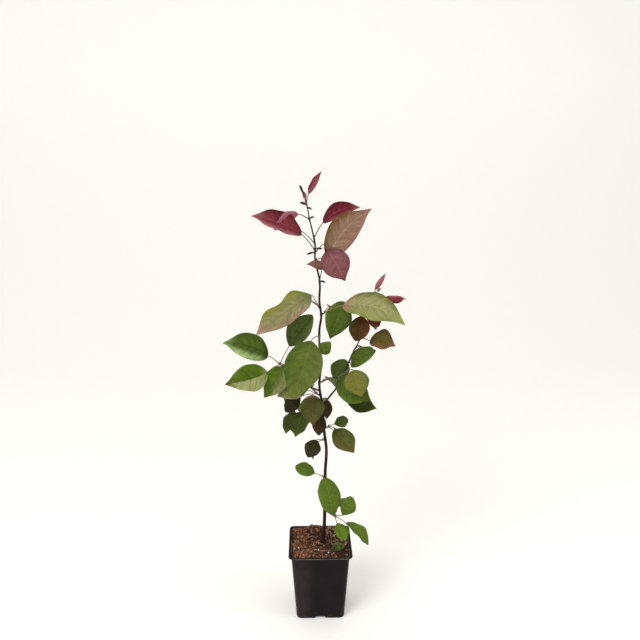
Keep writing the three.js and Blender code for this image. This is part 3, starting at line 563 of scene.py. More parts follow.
def vein_relief(t, s, length, settings):
    """The lowered midrib and side veins and the raised panels between them."""
    depth = settings.vein_depth / MM * min(1, length / 40)
    place = (t - VEIN_SLOPE * np.abs(s)) * VEIN_PAIRS
    off = np.abs(place - np.round(place))
    veins = np.exp(-((off / VEIN_WIDTH) ** 2)) * (1 - np.abs(s) ** 5)
    midrib = np.exp(-((s / MIDRIB_WIDTH) ** 2))
    panels = np.sin(math.pi * np.minimum(1, off * 2)) * (1 - s**4)
    fade = smoothstep(0, 0.12, t) * (1 - smoothstep(0.88, 1, t))
    return (0.7 * panels - veins - 1.3 * midrib) * depth * fade


def teeth(t, s, rows, length):
    """How far the fine teeth push the margin forward and out."""
    odd = (np.round(t * rows) % 2 == 1) & (np.abs(s) > 0.999) & (t > 0.1) & (t < 0.98)
    return np.where(odd, min(LONGEST_TOOTH, length * TOOTH_SHARE), 0)


def blade_body(one, base, look, settings):
    """A closed leaf blade: points, faces, places for the pattern, and which faces are its under side."""
    middle, t, s = blade_grid(one, base, look, settings)
    rows, columns = middle.shape[0] - 1, middle.shape[1] - 1
    normal = unit(np.cross(np.gradient(middle, axis=1), np.gradient(middle, axis=0)))
    thick = settings.thickness / MM * (1 - 0.5 * np.abs(s) ** 3)
    rib = settings.rib_depth / MM * np.exp(-((s / RIB_WIDTH) ** 2)) * (1 - 0.75 * t) * smoothstep(0, 0.05, t)
    top = middle + normal * (thick / 2)[..., None]
    bottom = middle - normal * (thick / 2 + rib)[..., None]
    points = np.vstack([top.reshape(-1, 3), bottom.reshape(-1, 3)])
    index = np.arange((rows + 1) * (columns + 1)).reshape(rows + 1, columns + 1)
    a, b, c, d = index[:-1, :-1], index[:-1, 1:], index[1:, 1:], index[1:, :-1]
    upper = np.stack([a, b, c, d], -1).reshape(-1, 4)
    lower = upper[:, ::-1] + index.size
    ring = np.r_[index[0, :-1], index[:-1, -1], index[-1, :0:-1], index[:0:-1, 0]]
    after = np.roll(ring, -1)
    wall = np.stack([after, ring, ring + index.size, after + index.size], -1)
    places = PLACE_MARGIN + PLACE_HALF * np.stack([s.ravel() + 1, 2 * t.ravel()], 1)
    faces = np.vstack([upper, lower, wall])
    under = np.r_[np.zeros(len(upper)), np.ones(len(lower) + len(wall))]
    return points, faces, np.vstack([places, places]), under


def petiole_path(one, start, base, count):
    """The petiole's path, which bows a little and runs on under the blade, and its radii."""
    axis, up, _ = leaf_frame(one)
    length = one["blade"][2]
    end = base + axis * length * PETIOLE_INSET
    end = end + up * (4 * PETIOLE_INSET * (1 - PETIOLE_INSET) * length * one["form"][1] - 0.25)
    middle = (start + base) / 2 + np.array([0, 0, one["petiole"][2] * PETIOLE_BOW])
    path = smooth_path([start, middle, base, end], count)
    slim = min(PETIOLE_RADIUS, SLIM_PETIOLE + length * PETIOLE_THICKENING)
    t = np.linspace(0, 1, count)
    foot = 0.7 * np.exp(-t * path_length(path) / 1.8)
    return path, slim * ((1 - 0.25 * t) * (1 - 0.6 * smoothstep(0.8, 1, t)) + foot)


def loft(rings):
    """Points and faces through rings of equal count, its ends closed by fans."""
    count = len(rings[0])
    points = np.vstack(rings)
    faces = []
    for r in range(len(rings) - 1):
        for i in range(count):
            a, b = r * count + i, r * count + (i + 1) % count
            faces.append((a, b, b + count, a + count))
    last = (len(rings) - 1) * count
    for i in range(1, count - 1):
        faces.append((0, i + 1, i))
        faces.append((last, last + i, last + i + 1))
    return points, faces


def square_ring(width, corner, height, steps):
    """A rounded square ring at a height."""
    inner = width / 2 - corner
    ring = []
    for side in range(4):
        quarter = side * math.pi / 2
        centre = (inner * (math.cos(quarter) - math.sin(quarter)), inner * (math.sin(quarter) + math.cos(quarter)))
        for k in range(steps + 1):
            turn = quarter + (k / steps) * (math.pi / 2)
            ring.append((centre[0] + corner * math.cos(turn), centre[1] + corner * math.sin(turn), height))
    return np.array(ring)


# Meshes and objects


def add_object(name, data):
    """A new object in the scene."""
    made = bpy.data.objects.new(name, data)
    bpy.context.scene.collection.objects.link(made)
    return made


def mesh_object(name, points, faces, smooth=True):
    """A new object from points in metres."""
    mesh = bpy.data.meshes.new(name)
    mesh.from_pydata([tuple(p) for p in points], [], [tuple(int(i) for i in f) for f in faces])
    mesh.validate()
    if smooth:
        mesh.shade_smooth()
    return add_object(name, mesh)


def face_outwards(mesh):
    """Turns a closed mesh's faces to look outwards."""
    shape = bmesh.new()
    shape.from_mesh(mesh)
    if shape.calc_volume(signed=True) < 0:
        bmesh.ops.reverse_faces(shape, faces=shape.faces[:])
        shape.to_mesh(mesh)
    shape.free()


def discard(*objects):
    for one in objects:
        data = one.data
        bpy.data.objects.remove(one)
        if data and not data.users:
            bpy.data.meshes.remove(data)


def finished(name, source):
    """The evaluated shape of an object as a plain mesh object, which takes its place."""
    bpy.context.view_layer.update()
    evaluated = source.evaluated_get(bpy.context.evaluated_depsgraph_get())
    mesh = bpy.data.meshes.new_from_object(evaluated)
    if not mesh.polygons:
        raise RuntimeError(f"{name} came out empty")
    source.modifiers.clear()
    discard(source)
    face_outwards(mesh)
    mesh.shade_smooth()
    mesh.name = name
    return add_object(name, mesh)


def place(piece, slot, *nodes):
    """Hands a finished piece to the frame."""
    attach(piece, BODY)
    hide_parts(*nodes)
    return piece


# Node trees


class Value:
    """A node's output, which takes part in sums like a number."""

    def __init__(self, web, socket):
        self.web, self.socket = web, socket

    def __add__(self, other):
        return self.web.maths("ADD", self, other)

    def __sub__(self, other):
        return self.web.maths("SUBTRACT", self, other)

    def __rsub__(self, other):
        return self.web.maths("SUBTRACT", other, self)

    def __mul__(self, other):
        return self.web.maths("MULTIPLY", self, other)

    def __truediv__(self, other):
        return self.web.maths("DIVIDE", self, other)

    def __abs__(self):
        return self.web.maths("ABSOLUTE", self)


class Web:
    """Adds nodes to a tree and joins them. A node's inputs are given in their order, or by name or number."""

    def __init__(self, tree):
        self.tree = tree

    def node(self, kind, inputs=(), **settings):
        made = self.tree.nodes.new(kind)
        for key, value in settings.items():
            setattr(made, key, value)
        for key, value in (inputs.items() if isinstance(inputs, dict) else enumerate(inputs)):
            if isinstance(value, Value):
                self.tree.links.new(value.socket, made.inputs[key])
            else:
                made.inputs[key].default_value = value
        return made

    def out(self, kind, inputs=(), key=0, **settings):
        """One output of a new node."""
        return Value(self, self.node(kind, inputs, **settings).outputs[key])

    def outs(self, kind, inputs=(), **settings):
        """All outputs of a new node, by name."""
        made = self.node(kind, inputs, **settings)
        return {socket.name: Value(self, socket) for socket in made.outputs if socket.name}

    def maths(self, operation, *values, **settings):
        return self.out("ShaderNodeMath", values, operation=operation, **settings)

    def stretched(self, vector, by):
        return self.out("ShaderNodeVectorMath", (vector, by), operation="MULTIPLY")

    def ramp(self, value, low, high, to_low=0.0, to_high=1.0):
        """A smooth step between two values."""
        return self.out("ShaderNodeMapRange", (value, low, high, to_low, to_high), interpolation_type="SMOOTHSTEP")

    def blend(self, factor, a, b, mode="MIX"):
        return self.out("ShaderNodeMix", {0: factor, 6: a, 7: b}, 2, data_type="RGBA", blend_type=mode)

    def noise(self, vector, scale, detail=3.0, roughness=0.55):
        inputs = {"Vector": vector, "Scale": scale, "Detail": detail, "Roughness": roughness}
        return self.out("ShaderNodeTexNoise", inputs)

    def place(self):
        """Where a point lies on its object."""
        return self.out("ShaderNodeTexCoord", key="Object")

    def attribute(self, name):
        return self.out("GeometryNodeInputNamedAttribute", {"Name": name}, data_type="FLOAT")

    def group(self, name, build, inputs):
        """All outputs of a shared group."""
        return self.outs("ShaderNodeGroup", inputs, node_tree=shared(bpy.data.node_groups, name, build))


FLOAT, INT, VECTOR, COLOUR = "NodeSocketFloat", "NodeSocketInt", "NodeSocketVector", "NodeSocketColor"
SHAPE, STUFF, THING = "NodeSocketGeometry", "NodeSocketMaterial", "NodeSocketObject"


def shared(kept, name, build, *given):
    """A node group or a material by its name, built on first use."""
    return kept.get(name) or build(name, *given)


def new_group(name, kind, inputs, outputs):
    """A new node group with named sockets; gives its web and its inputs' values."""
    tree = bpy.data.node_groups.new(name, kind)
    for way, sockets in (("INPUT", inputs), ("OUTPUT", outputs)):
        for label, socket in sockets.items():
            tree.interface.new_socket(label, in_out=way, socket_type=socket)
    web = Web(tree)
    return web, web.outs("NodeGroupInput")


def closed_tree(web, shape, finish):
    """Makes a geometry tree's shape real, gives it its finish and ends the tree with it."""
    real = web.out("GeometryNodeRealizeInstances", (shape,))
    web.node("NodeGroupOutput", (web.out("GeometryNodeSetMaterial", {"Geometry": real, "Material": finish}),))
    return web.tree


def limb_tree(name):
    """Round limbs along chains of points, as thick as their girth says, with an uneven skin."""
    sockets = {"Paths": SHAPE, "Sides": INT, "Relief": FLOAT, "Grain": FLOAT, "Seed": INT, "Finish": STUFF}
    web, given = new_group(name, "GeometryNodeTree", sockets, {"Limbs": SHAPE})
    skin = web.out("GeometryNodeCurveToMesh", {
        "Curve": web.out("GeometryNodeMeshToCurve", {"Mesh": given["Paths"]}),
        "Profile Curve": web.out("GeometryNodeCurvePrimitiveCircle", {"Resolution": given["Sides"], "Radius": 1}),
        "Scale": web.attribute("girth"), "Fill Caps": True,
    })
    grain = web.out("ShaderNodeTexNoise", {
        "Vector": web.stretched(web.out("GeometryNodeInputPosition"), (1, 1, 0.35)),
        "W": given["Seed"], "Scale": given["Grain"],
    }, noise_dimensions="4D")
    offset = web.out("ShaderNodeVectorMath", {
        0: web.out("GeometryNodeInputNormal"), "Scale": (grain - 0.5) * given["Relief"],
    }, operation="SCALE")
    moved = web.out("GeometryNodeSetPosition", {"Geometry": skin, "Offset": offset})
    return closed_tree(web, moved, given["Finish"])


def scatter_tree(name):
    """Copies of one bit strewn over a surface where its mask says, turned and sized by a seeded rule."""
    sockets = {
        "Surface": SHAPE, "Bit": THING, "Spacing": FLOAT, "Crowding": FLOAT, "Smallest": FLOAT, "Largest": FLOAT,
        "Sway": FLOAT, "Seed": INT, "Finish": STUFF,
    }
    web, given = new_group(name, "GeometryNodeTree", sockets, {"Strewn": SHAPE})
    seed, sway = given["Seed"], given["Sway"]
    spots = web.outs("GeometryNodeDistributePointsOnFaces", {
        "Mesh": given["Surface"], "Distance Min": given["Spacing"], "Density Max": given["Crowding"],
        "Density Factor": web.attribute("here"), "Seed": seed,
    }, distribute_method="POISSON")
    turn = web.out("FunctionNodeRandomValue", {
        0: web.out("ShaderNodeCombineXYZ", (sway * -1.0, sway * -1.0, -math.pi)),
        1: web.out("ShaderNodeCombineXYZ", (sway, sway, math.pi)), "Seed": seed,
    }, data_type="FLOAT_VECTOR")
    turn = web.out("FunctionNodeEulerToRotation", (turn,))
    sizes = {2: given["Smallest"], 3: given["Largest"], "Seed": seed + 7.0}
    copies = web.out("GeometryNodeInstanceOnPoints", {
        "Points": spots["Points"],
        "Instance": web.out("GeometryNodeObjectInfo", {"Object": given["Bit"]}, "Geometry", transform_space="ORIGINAL"),
        "Rotation": web.out("FunctionNodeRotateRotation", (spots["Rotation"], turn), rotation_space="LOCAL"),
        "Scale": web.out("FunctionNodeRandomValue", sizes, 1, data_type="FLOAT"),
    })
    return closed_tree(web, copies, given["Finish"])


def grown_with(name, source, tree, **values):
    """What a geometry tree makes of an object, its inputs set by name."""
    modifier = source.modifiers.new(tree.name, "NODES")
    modifier.node_group = tree
    for item in tree.interface.items_tree:
        if item.item_type == "SOCKET" and item.in_out == "INPUT" and item.name in values:
            modifier[item.identifier] = values[item.name]
    source.update_tag()
    return finished(name, source)


def limbs_from(name, chains, finish, settings, relief, seed, sides):
    """One piece of round limbs from chains of (points, radii) in millimetres."""
    points, edges, girth = [], [], []
    for path, radii in chains:
        first = len(points)
        points.extend(tuple(p) for p in np.asarray(path) * MM)
        edges.extend((first + i, first + i + 1) for i in range(len(path) - 1))
        girth.extend(np.asarray(radii) * MM)
    mesh = bpy.data.meshes.new(name)
    mesh.from_pydata(points, edges, [])
    mesh.attributes.new("girth", "FLOAT", "POINT").data.foreach_set("value", np.array(girth, np.float32))
    source = add_object(name + "_paths", mesh)
    tree = shared(bpy.data.node_groups, "crabapple_limbs", limb_tree)
    return grown_with(name, source, tree, Sides=sides, Relief=relief, Grain=settings.grain, Seed=seed, Finish=finish)


def strewn(name, surface, bit, finish, spacing, sizes, sway, seed):
    """One piece of bits strewn over a copy of a surface. The bit is used up."""
    source = add_object(name + "_surface", surface.data.copy())
    tree = shared(bpy.data.node_groups, "crabapple_scatter", scatter_tree)
    made = grown_with(
        name, source, tree, Bit=bit, Spacing=spacing, Crowding=1.6 / spacing**2, Smallest=sizes[0], Largest=sizes[1],
        Sway=sway, Seed=seed, Finish=finish,
    )
    discard(bit)
    return made


def mask_points(thing, values):
    """Says where bits may lie on a surface, from 0 to 1 at each point."""
    attribute = thing.data.attributes.get("here") or thing.data.attributes.new("here", "FLOAT", "POINT")
    attribute.data.foreach_set("value", np.asarray(values, np.float32))


# Finishes


def pattern_group(name):
    """A leaf's pattern from its own places: across, along, under side, veins, midrib and a value of its own."""
    outputs = dict.fromkeys(("Across", "Along", "Under", "Veins", "Midrib", "Own"), FLOAT)
    web, given = new_group(name, "ShaderNodeTree", {"Places": VECTOR}, outputs)
    x, y, _ = web.outs("ShaderNodeSeparateXYZ", (given["Places"],)).values()
    under = web.maths("GREATER_THAN", x, 1.5)
    across = (x - under * 2.0 - PLACE_MARGIN) / PLACE_HALF - 1.0
    number = web.maths("FLOOR", y / 2.0)
    length = (y - number * 2.0 - PLACE_MARGIN) / (2 * PLACE_HALF)
    out = abs(across)
    place = (length - out * VEIN_SLOPE) * VEIN_PAIRS
    off = abs(place - web.maths("ROUND", place))
    veins = web.ramp(off, 0.02, 0.13, 1.0, 0.0) * web.ramp(out, 0.6, 1.0, 1.0, 0.15)
    midrib = web.ramp(out, 0.02, 0.075, 1.0, 0.0)
    own = web.out("ShaderNodeTexWhiteNoise", {"W": number + 3.5}, noise_dimensions="1D")
    web.node("NodeGroupOutput", (across, length, under, veins, midrib, own))
    return web.tree


def colour_group(name):
    """A leaf's colour, height and roughness from its pattern and its tint."""
    inputs = dict.fromkeys(("Across", "Along", "Under", "Veins", "Midrib", "Own", "Reach", "Full"), FLOAT)
    inputs |= {**dict.fromkeys(TINT_PARTS, COLOUR), "Place": VECTOR}
    web, given = new_group(name, "ShaderNodeTree", inputs, {"Colour": COLOUR, "Height": FLOAT, "Roughness": FLOAT})
    place, under, own = given["Place"], given["Under"], given["Own"]
    drift = (web.noise(place, 90.0, 2.0) - 0.5) * 0.18
    across, length = given["Across"] + drift, given["Along"] + drift * 0.3
    colour = given["Centre"]
    for part, share in (
        ("High", web.ramp(across, given["Reach"], given["Full"])),
        ("Low", web.ramp(across * -1.0, given["Reach"], given["Full"])),
        ("Tip", web.ramp(length, 0.74, 0.98)),
        ("Base", web.ramp(length, 0.22, 0.02)),
        ("Beneath", under * 0.8),
        ("Vein", web.maths("MAXIMUM", given["Veins"] * 0.38, given["Midrib"] * 0.75)),
    ):
        colour = web.blend(share, colour, given[part])
    mottle = web.noise(place, 420.0, 4.0, 0.65)
    # Light and dark streaks along the side veins are painted sheen and painted shade in the creases; the coarse patches
    # are random tone that also stands in for uneven shade
    rows = ((given["Along"] - abs(given["Across"]) * VEIN_SLOPE) * SHEEN_STREAK_ROWS, given["Across"], own * 8.0)
    sheen_streaks = web.noise(web.out("ShaderNodeCombineXYZ", rows), 1.6, 3.0)
    shade = mottle * 0.45 + own * 0.14 + sheen_streaks * 1.1 + web.noise(place, 110.0, 2.0) * 0.4 - 0.065
    colour = web.blend(1.0, colour, web.out("ShaderNodeCombineColor", (shade, shade, shade)), "MULTIPLY")
    cells = web.out("ShaderNodeTexVoronoi", {"Vector": place, "Scale": 650.0}, feature="DISTANCE_TO_EDGE")
    height = web.ramp(cells, 0.0, 0.12) * 0.35 + mottle * 0.5 - given["Veins"] * 0.6
    web.node("NodeGroupOutput", (colour, height, under * 0.22 + mottle * 0.18 + 0.38))
    return web.tree


def grain_group(name):
    """Two colours mixed by a coarse and a fine grain, with the grain as a height."""
    inputs = {"Place": VECTOR, "Main": COLOUR, "Other": COLOUR, "Coarse": FLOAT, "Fine": FLOAT, "Share": FLOAT}
    web, given = new_group(name, "ShaderNodeTree", inputs, {"Colour": COLOUR, "Height": FLOAT})
    coarse = web.noise(given["Place"], given["Coarse"])
    fine = web.noise(given["Place"], given["Fine"], 4.0, 0.6)
    factor = web.ramp(coarse * 0.6 + fine * 0.4, given["Share"] - 0.14, given["Share"] + 0.14)
    web.node("NodeGroupOutput", (web.blend(factor, given["Main"], given["Other"]), fine + coarse * 0.5))
    return web.tree


def new_material(name):
    """An empty node material and its web."""
    material = bpy.data.materials.new(name)
    material.use_nodes = True
    material.node_tree.nodes.clear()
    return material, Web(material.node_tree)


def add_shader(web, colour, roughness, specular, bump=None, **more):
    """A material's own shader, joined to its output. The bump is a height, a strength and a distance."""
    inputs = {"Base Color": colour, "Roughness": roughness, "Specular IOR Level": specular, **more}
    if bump:
        inputs["Normal"] = web.out("ShaderNodeBump", dict(zip(("Height", "Strength", "Distance"), bump)))
    shader = web.out("ShaderNodeBsdfPrincipled", inputs)
    web.node("ShaderNodeOutputMaterial", {"Surface": shader})


def leaf_material(name, shade):
    """The finish of a leaf of one tint, its middle as the settings say."""
    colours = {**TINTS[shade][1], "Centre": tuple(getattr(bpy.context.scene.crabapple_tints, shade))}
    material, web = new_material(name)
    pattern = web.group("crabapple_pattern", pattern_group, (web.out("ShaderNodeUVMap", uv_map="places"),))
    paint = web.group("crabapple_leaf", colour_group, {**pattern, **colours, "Place": web.place()})
    add_shader(web, paint["Colour"], paint["Roughness"], 0.14, (paint["Height"], 0.5, 0.0002))
    return material


class Grain(NamedTuple):
    """Two colours, the scales and share of the grain that mixes them, and how the surface shines and stands out."""

    main: tuple
    other: tuple
    coarse: float
    fine: float
    share: float
    roughness: float
    relief: float
    specular: float = 0.4
    squash: float = 1


STALK_GRAIN = (120, 700, 0.55, 0.5, 0.0001, 0.2, 0.3)
CHIP_GRAIN = (300, 2200, 0.5, 0.8, 0.0003, 0.25)
GRAINS = {
    "pot": Grain((14, 11, 13), (20, 16, 18), 26, 1500, 0.5, 0.4, 0.00012, 0.12),
    "bark": Grain((40, 17, 21), (70, 38, 37), 160, 900, 0.62, 0.55, 0.0003, 0.16, 0.3),
    "lenticel": Grain((128, 98, 84), (96, 70, 60), 500, 2400, 0.5, 0.7, 0.0001),
    "dry_stub": Grain((150, 122, 100), (96, 70, 58), 300, 1600, 0.5, 0.8, 0.0004),
    "bud": Grain((84, 44, 40), (120, 72, 58), 500, 2400, 0.5, 0.5, 0.0002),
    "dark_stalk": Grain((56, 30, 32), (92, 66, 62), *STALK_GRAIN),
    "brown_stalk": Grain((138, 112, 96), (104, 76, 64), *STALK_GRAIN),
    "green_stalk": Grain((112, 112, 66), (128, 100, 74), *STALK_GRAIN),
    "compost_ground": Grain((34, 20, 14), (94, 56, 34), 260, 1500, 0.56, 0.85, 0.0009, 0.25),
    "dark_chips": Grain((44, 27, 21), (72, 44, 32), *CHIP_GRAIN),
    "brown_chips": Grain((134, 84, 62), (76, 44, 32), *CHIP_GRAIN),
    "orange_chips": Grain((170, 112, 60), (122, 70, 42), *CHIP_GRAIN),
    "pale_chips": Grain((188, 150, 120), (146, 108, 80), *CHIP_GRAIN),
    "perlite": Grain((244, 242, 236), (222, 218, 208), 500, 2600, 0.55, 0.7, 0.0002),
    "straw": Grain((186, 158, 122), (148, 116, 84), 200, 1800, 0.5, 0.6, 0.0001),
    "moss_ground": Grain((20, 30, 10), (46, 64, 20), 300, 2400, 0.5, 0.9, 0.0006),
    "moss": Grain((112, 128, 52), (32, 46, 12), 240, 1800, 0.5, 0.6, 0.0001),
}


def mixed_grain(web, place, kind):
    """The grain of a kind of finish, its main colour as the settings say."""
    grain, main = GRAINS[kind], tuple(getattr(bpy.context.scene.crabapple_finishes, kind))
    inputs = {"Place": place, "Main": main, "Other": linear(grain.other)}
    inputs |= {"Coarse": grain.coarse, "Fine": grain.fine, "Share": grain.share}
    return web.group("crabapple_grain", grain_group, inputs)


def grain_material(name, kind):
    """A finish of two mixed colours with a fine relief."""
    grain = GRAINS[kind]
    material, web = new_material(name)
    mixed = mixed_grain(web, web.stretched(web.place(), (1, 1, grain.squash)), kind)
    add_shader(web, mixed["Colour"], grain.roughness, grain.specular, (mixed["Height"], 0.6, grain.relief))
    return material


def finish_of(kind):
    return shared(bpy.data.materials, "finish_" + kind, grain_material, kind)


# Heights and reaches on the pot, in metres, between which its marks, its painted highlight, its painted mouth shade and
# its painted sheen come in
DUST_HEIGHT = (0.03, 0.0)
# The painted highlight runs round the rim's lower edge: a pale line where the rounded lip would catch light
RIM_HIGHLIGHT_FOOT, RIM_HIGHLIGHT_TOP = (0.1216, 0.1220), (0.1240, 0.1230)
# The painted shade fills the mouth: its inner walls above the compost are made near black
MOUTH_SHADE_REACH, MOUTH_SHADE_FOOT = (0.0532, 0.0527), (0.1190, 0.1200)
# The painted sheen lies on the left side of the pot's face: a lighter film that stands in for a soft reflection
PAINTED_SHEEN_SIDE = (-0.008, -0.03)


def pot_material(name, kind):
    """Black moulded plastic: a soft satin face with fine scuffs, a painted sheen on its left side, a painted highlight
    round the rim's lower edge and painted shade in its mouth.
    """
    grain = GRAINS[kind]
    material, web = new_material(name)
    spot = web.place()
    mixed = mixed_grain(web, spot, kind)
    x, y, z = web.outs("ShaderNodeSeparateXYZ", (spot,)).values()
    scuff = web.ramp(web.noise(web.stretched(spot, (1, 1, 0.12)), 260.0, 5.0, 0.7), 0.62, 0.78)
    dust = web.ramp(z, *DUST_HEIGHT) * web.ramp(web.noise(spot, 120.0, 4.0), 0.45, 0.7)
    marks = web.maths("ADD", scuff * 0.14, dust * 0.2, use_clamp=True)
    # Painted highlight: a pale line round the rim's lower edge, where its rounding would catch light
    lip = web.ramp(z, *RIM_HIGHLIGHT_FOOT) * web.ramp(z, *RIM_HIGHLIGHT_TOP) * web.ramp(web.noise(spot, 70.0), 0.38, 0.62, 0.25)
    # Painted sheen: a lighter brownish film on the left of the pot, standing in for a soft reflection
    painted_sheen = web.ramp(x, *PAINTED_SHEEN_SIDE) * web.ramp(web.noise(spot, 40.0), 0.3, 0.7, 0.5)
    # Painted shade: the mouth's inner walls made near black and less shiny, where shade falls inside the rim
    mouth = web.ramp(web.maths("MAXIMUM", abs(x), abs(y)), *MOUTH_SHADE_REACH) * web.ramp(z, *MOUTH_SHADE_FOOT)
    face = mixed["Colour"]
    for share, colour in (
        (painted_sheen * 0.7, (50, 38, 42)), (mouth * 0.8, (7, 5, 6)), (lip * 0.75, (132, 118, 118)), (marks, (92, 84, 78)),
    ):
        face = web.blend(share, face, linear(colour))
    bump = (mixed["Height"], 0.35, grain.relief)
    add_shader(web, face, marks * 0.3 + grain.roughness, grain.specular - mouth * 0.1, bump)
    return material


# Settings


def metres(name, description, default):
    return FloatProperty(name=name, description=description, default=default, unit="LENGTH", precision=5)


def whole(name, description, default):
    return IntProperty(name=name, description=description, default=default)


def number(name, description, default, **more):
    return FloatProperty(name=name, description=description, default=default, **more)


def colours_of(kinds):
    """A colour property for each kind, from its linear colour."""
    made = {}
    for kind, colour in kinds.items():
        label = kind.replace("_", " ")
        made[kind] = FloatVectorProperty(
            name=label.capitalize(), description=f"Main colour of the {label}", default=colour, size=4, min=0, max=1,
            subtype="COLOR",
        )
    return made


class PotSettings(bpy.types.PropertyGroup):
    height: metres("Height", "Height of the pot", 0.125)
    base_width: metres("Base width", "Width across the foot", 0.084)
    body_width: metres("Body width", "Width below the collar", 0.100)
    collar_width: metres("Collar width", "Width of the collar under the rim", 0.102)
    rim_width: metres("Rim width", "Width across the rim", 0.110)
    wall: metres("Wall", "Thickness of the wall", 0.0016)
    floor: metres("Floor", "Thickness of the floor", 0.0024)
    corner: metres("Corner", "Radius of the upright corners", 0.009)
    rim_thickness: metres("Rim thickness", "Thickness of the rim", 0.003)
    edge: metres("Edge", "Radius of the rim's edges", 0.0007)
    lip: metres("Lip", "Width of the lip along the rim's top", 0.002)
    mouth_depth: metres("Mouth depth", "How far the rim's top slopes down to the wall", 0.0022)
    collar_height: metres("Collar height", "Height of the collar with the rim", 0.009)
    notch_foot: metres("Notch foot", "Width of a drainage notch at the foot", 0.020)
    notch_top: metres("Notch top", "Width of a drainage notch at its top", 0.012)
    notch_height: metres("Notch height", "Height of a drainage notch", 0.007)
    notch_depth: metres("Notch depth", "How far a drainage notch runs in", 0.006)
    corner_steps: whole("Corner steps", "Steps round each upright corner", 12)


class CompostSettings(bpy.types.PropertyGroup):
    edge_height: metres("Edge height", "Height of the compost at the pot's wall", 0.1198)
    crown_height: metres("Crown height", "Height of the compost at the stem", 0.1222)
    lumps: metres("Lumps", "Height of the lumps on its surface", 0.0011)
    lump_size: metres("Lump size", "Distance between lumps", 0.012)
    rings: whole("Rings", "Rings from the wall to the middle", 34)
    chip_spacing: metres("Chip spacing", "Least distance between bark chips", 0.0019)
    chip_length: metres("Chip length", "Length of a middling bark chip", 0.0043)
    mound: metres("Mound", "Height of the mound along the back", 0.0095)
    clod: metres("Clod", "Height of the clod on the mound", 0.005)
    seed: whole("Seed", "Seed of the chips and lumps", 5)


class LimbSettings(bpy.types.PropertyGroup):
    sides: whole("Sides", "Sides round the trunk", 20)
    thin_sides: whole("Thin sides", "Sides round a petiole", 8)
    step: metres("Step", "Distance between rings along the trunk", 0.0014)
    relief: metres("Relief", "Height of the bark's unevenness", 0.0006)
    grain: number("Grain", "Scale of the bark's unevenness", 420.0)
    lenticel_spacing: metres("Lenticel spacing", "Least distance between lenticels", 0.0042)
    lenticel_size: metres("Lenticel size", "Length of a lenticel", 0.0011)
    seed: whole("Seed", "Seed of the bark", 3)


class LeafSettings(bpy.types.PropertyGroup):
    row_spacing: metres("Row spacing", "Distance between rows along a blade", 0.0012)
    column_spacing: metres("Column spacing", "Distance between columns across a blade", 0.0024)
    most_rows: whole("Most rows", "Greatest count of rows along a blade", 76)
    most_columns: whole("Most columns", "Greatest count of columns across a blade", 20)
    thickness: metres("Thickness", "Thickness of a blade", 0.00034)
    rib_depth: metres("Rib depth", "How far the midrib stands out below", 0.0007)
    vein_depth: metres("Vein depth", "Depth of the side veins", 0.00048)


class FinishColours(bpy.types.PropertyGroup):
    __annotations__ = colours_of({kind: linear(grain.main) for kind, grain in GRAINS.items()})


class TintColours(bpy.types.PropertyGroup):
    __annotations__ = colours_of({shade: inputs["Centre"] for shade, (_, inputs) in TINTS.items()})


class StageSettings(bpy.types.PropertyGroup):
    camera_place: FloatVectorProperty(
        name="Camera place", description="Where the camera stands", default=(-0.02375, -1.12465, 0.7844),
        subtype="TRANSLATION", precision=5,
    )
    tilt: number("Tilt", "How far the camera looks down", math.radians(12.81), subtype="ANGLE")
    turn: number("Turn", "How far the camera looks to the right", math.radians(1.21), subtype="ANGLE")
    lens: number("Lens", "Focal length in millimetres", 39.31)
    floor_size: metres("Floor size", "Width of the floor and backdrop", 9.0)
    key_power: number("Key power", "Power of the main light", 31.0, unit="POWER")
    fill_power: number("Fill power", "Power of the side light", 7.0, unit="POWER")
    surround: number("Surround", "Strength of the pale surroundings", 0.62)
    glow: number("Glow", "Light that the backdrop gives out itself", 0.15)


# Pieces


def quarter_turn(steps):
    """How far each step of a quarter circle is from its foot and from its side, as parts of the radius."""
    turns = [k * math.pi / 2 / steps for k in range(steps + 1)]
    return [(1 - math.cos(turn), 1 - math.sin(turn)) for turn in turns]


def pot_rings(pot):
    """The pot's rings: up the outside, over the rim and down the inside."""
    collar, rim, edge = pot.height - pot.collar_height, pot.height - pot.rim_thickness, pot.edge
    foot_edge, side_steps, least_corner = 0.0014, 12, 0.001
    outside = [(pot.base_width, foot_edge * rise, foot_edge * inset) for rise, inset in quarter_turn(3)]
    for t in (k / side_steps for k in range(1, side_steps + 1)):
        outside.append((lerp(pot.base_width, pot.body_width, t), lerp(foot_edge, collar, t), 0))
    outside += [
        (lerp(pot.body_width, pot.collar_width, 0.8), collar + 0.0003, 0), (pot.collar_width, collar + 0.0008, 0),
        (pot.collar_width, rim - 0.0006, 0), (pot.collar_width + 0.0008, rim - 0.0001, 0),
    ]
    outside += [(pot.rim_width, rim + edge * rise, edge * inset) for rise, inset in quarter_turn(4)]
    outside += [(pot.rim_width, pot.height - edge * drop, edge * inset) for inset, drop in quarter_turn(4)]
    rows = [(width - 2 * inset, max(pot.corner - inset, least_corner), height) for width, height, inset in outside]
    lip, wall = pot.corner - pot.lip, pot.corner - pot.wall
    mouth, foot = pot.rim_width - 2 * pot.lip, pot.height - pot.mouth_depth
    inside = pot.collar_width - 2 * pot.wall
    rows += [
        (mouth + 0.0006, lip, pot.height), (mouth - 0.0004, lip, pot.height - 0.0003),
        (inside + 0.0008, wall, foot + 0.0002), (inside, wall, foot - 0.0006), (inside, wall, collar + 0.001),
        (pot.body_width - 2 * pot.wall, wall, collar), (pot.base_width - 2 * pot.wall, wall, pot.floor),
    ]
    return [square_ring(*row, pot.corner_steps) for row in rows]


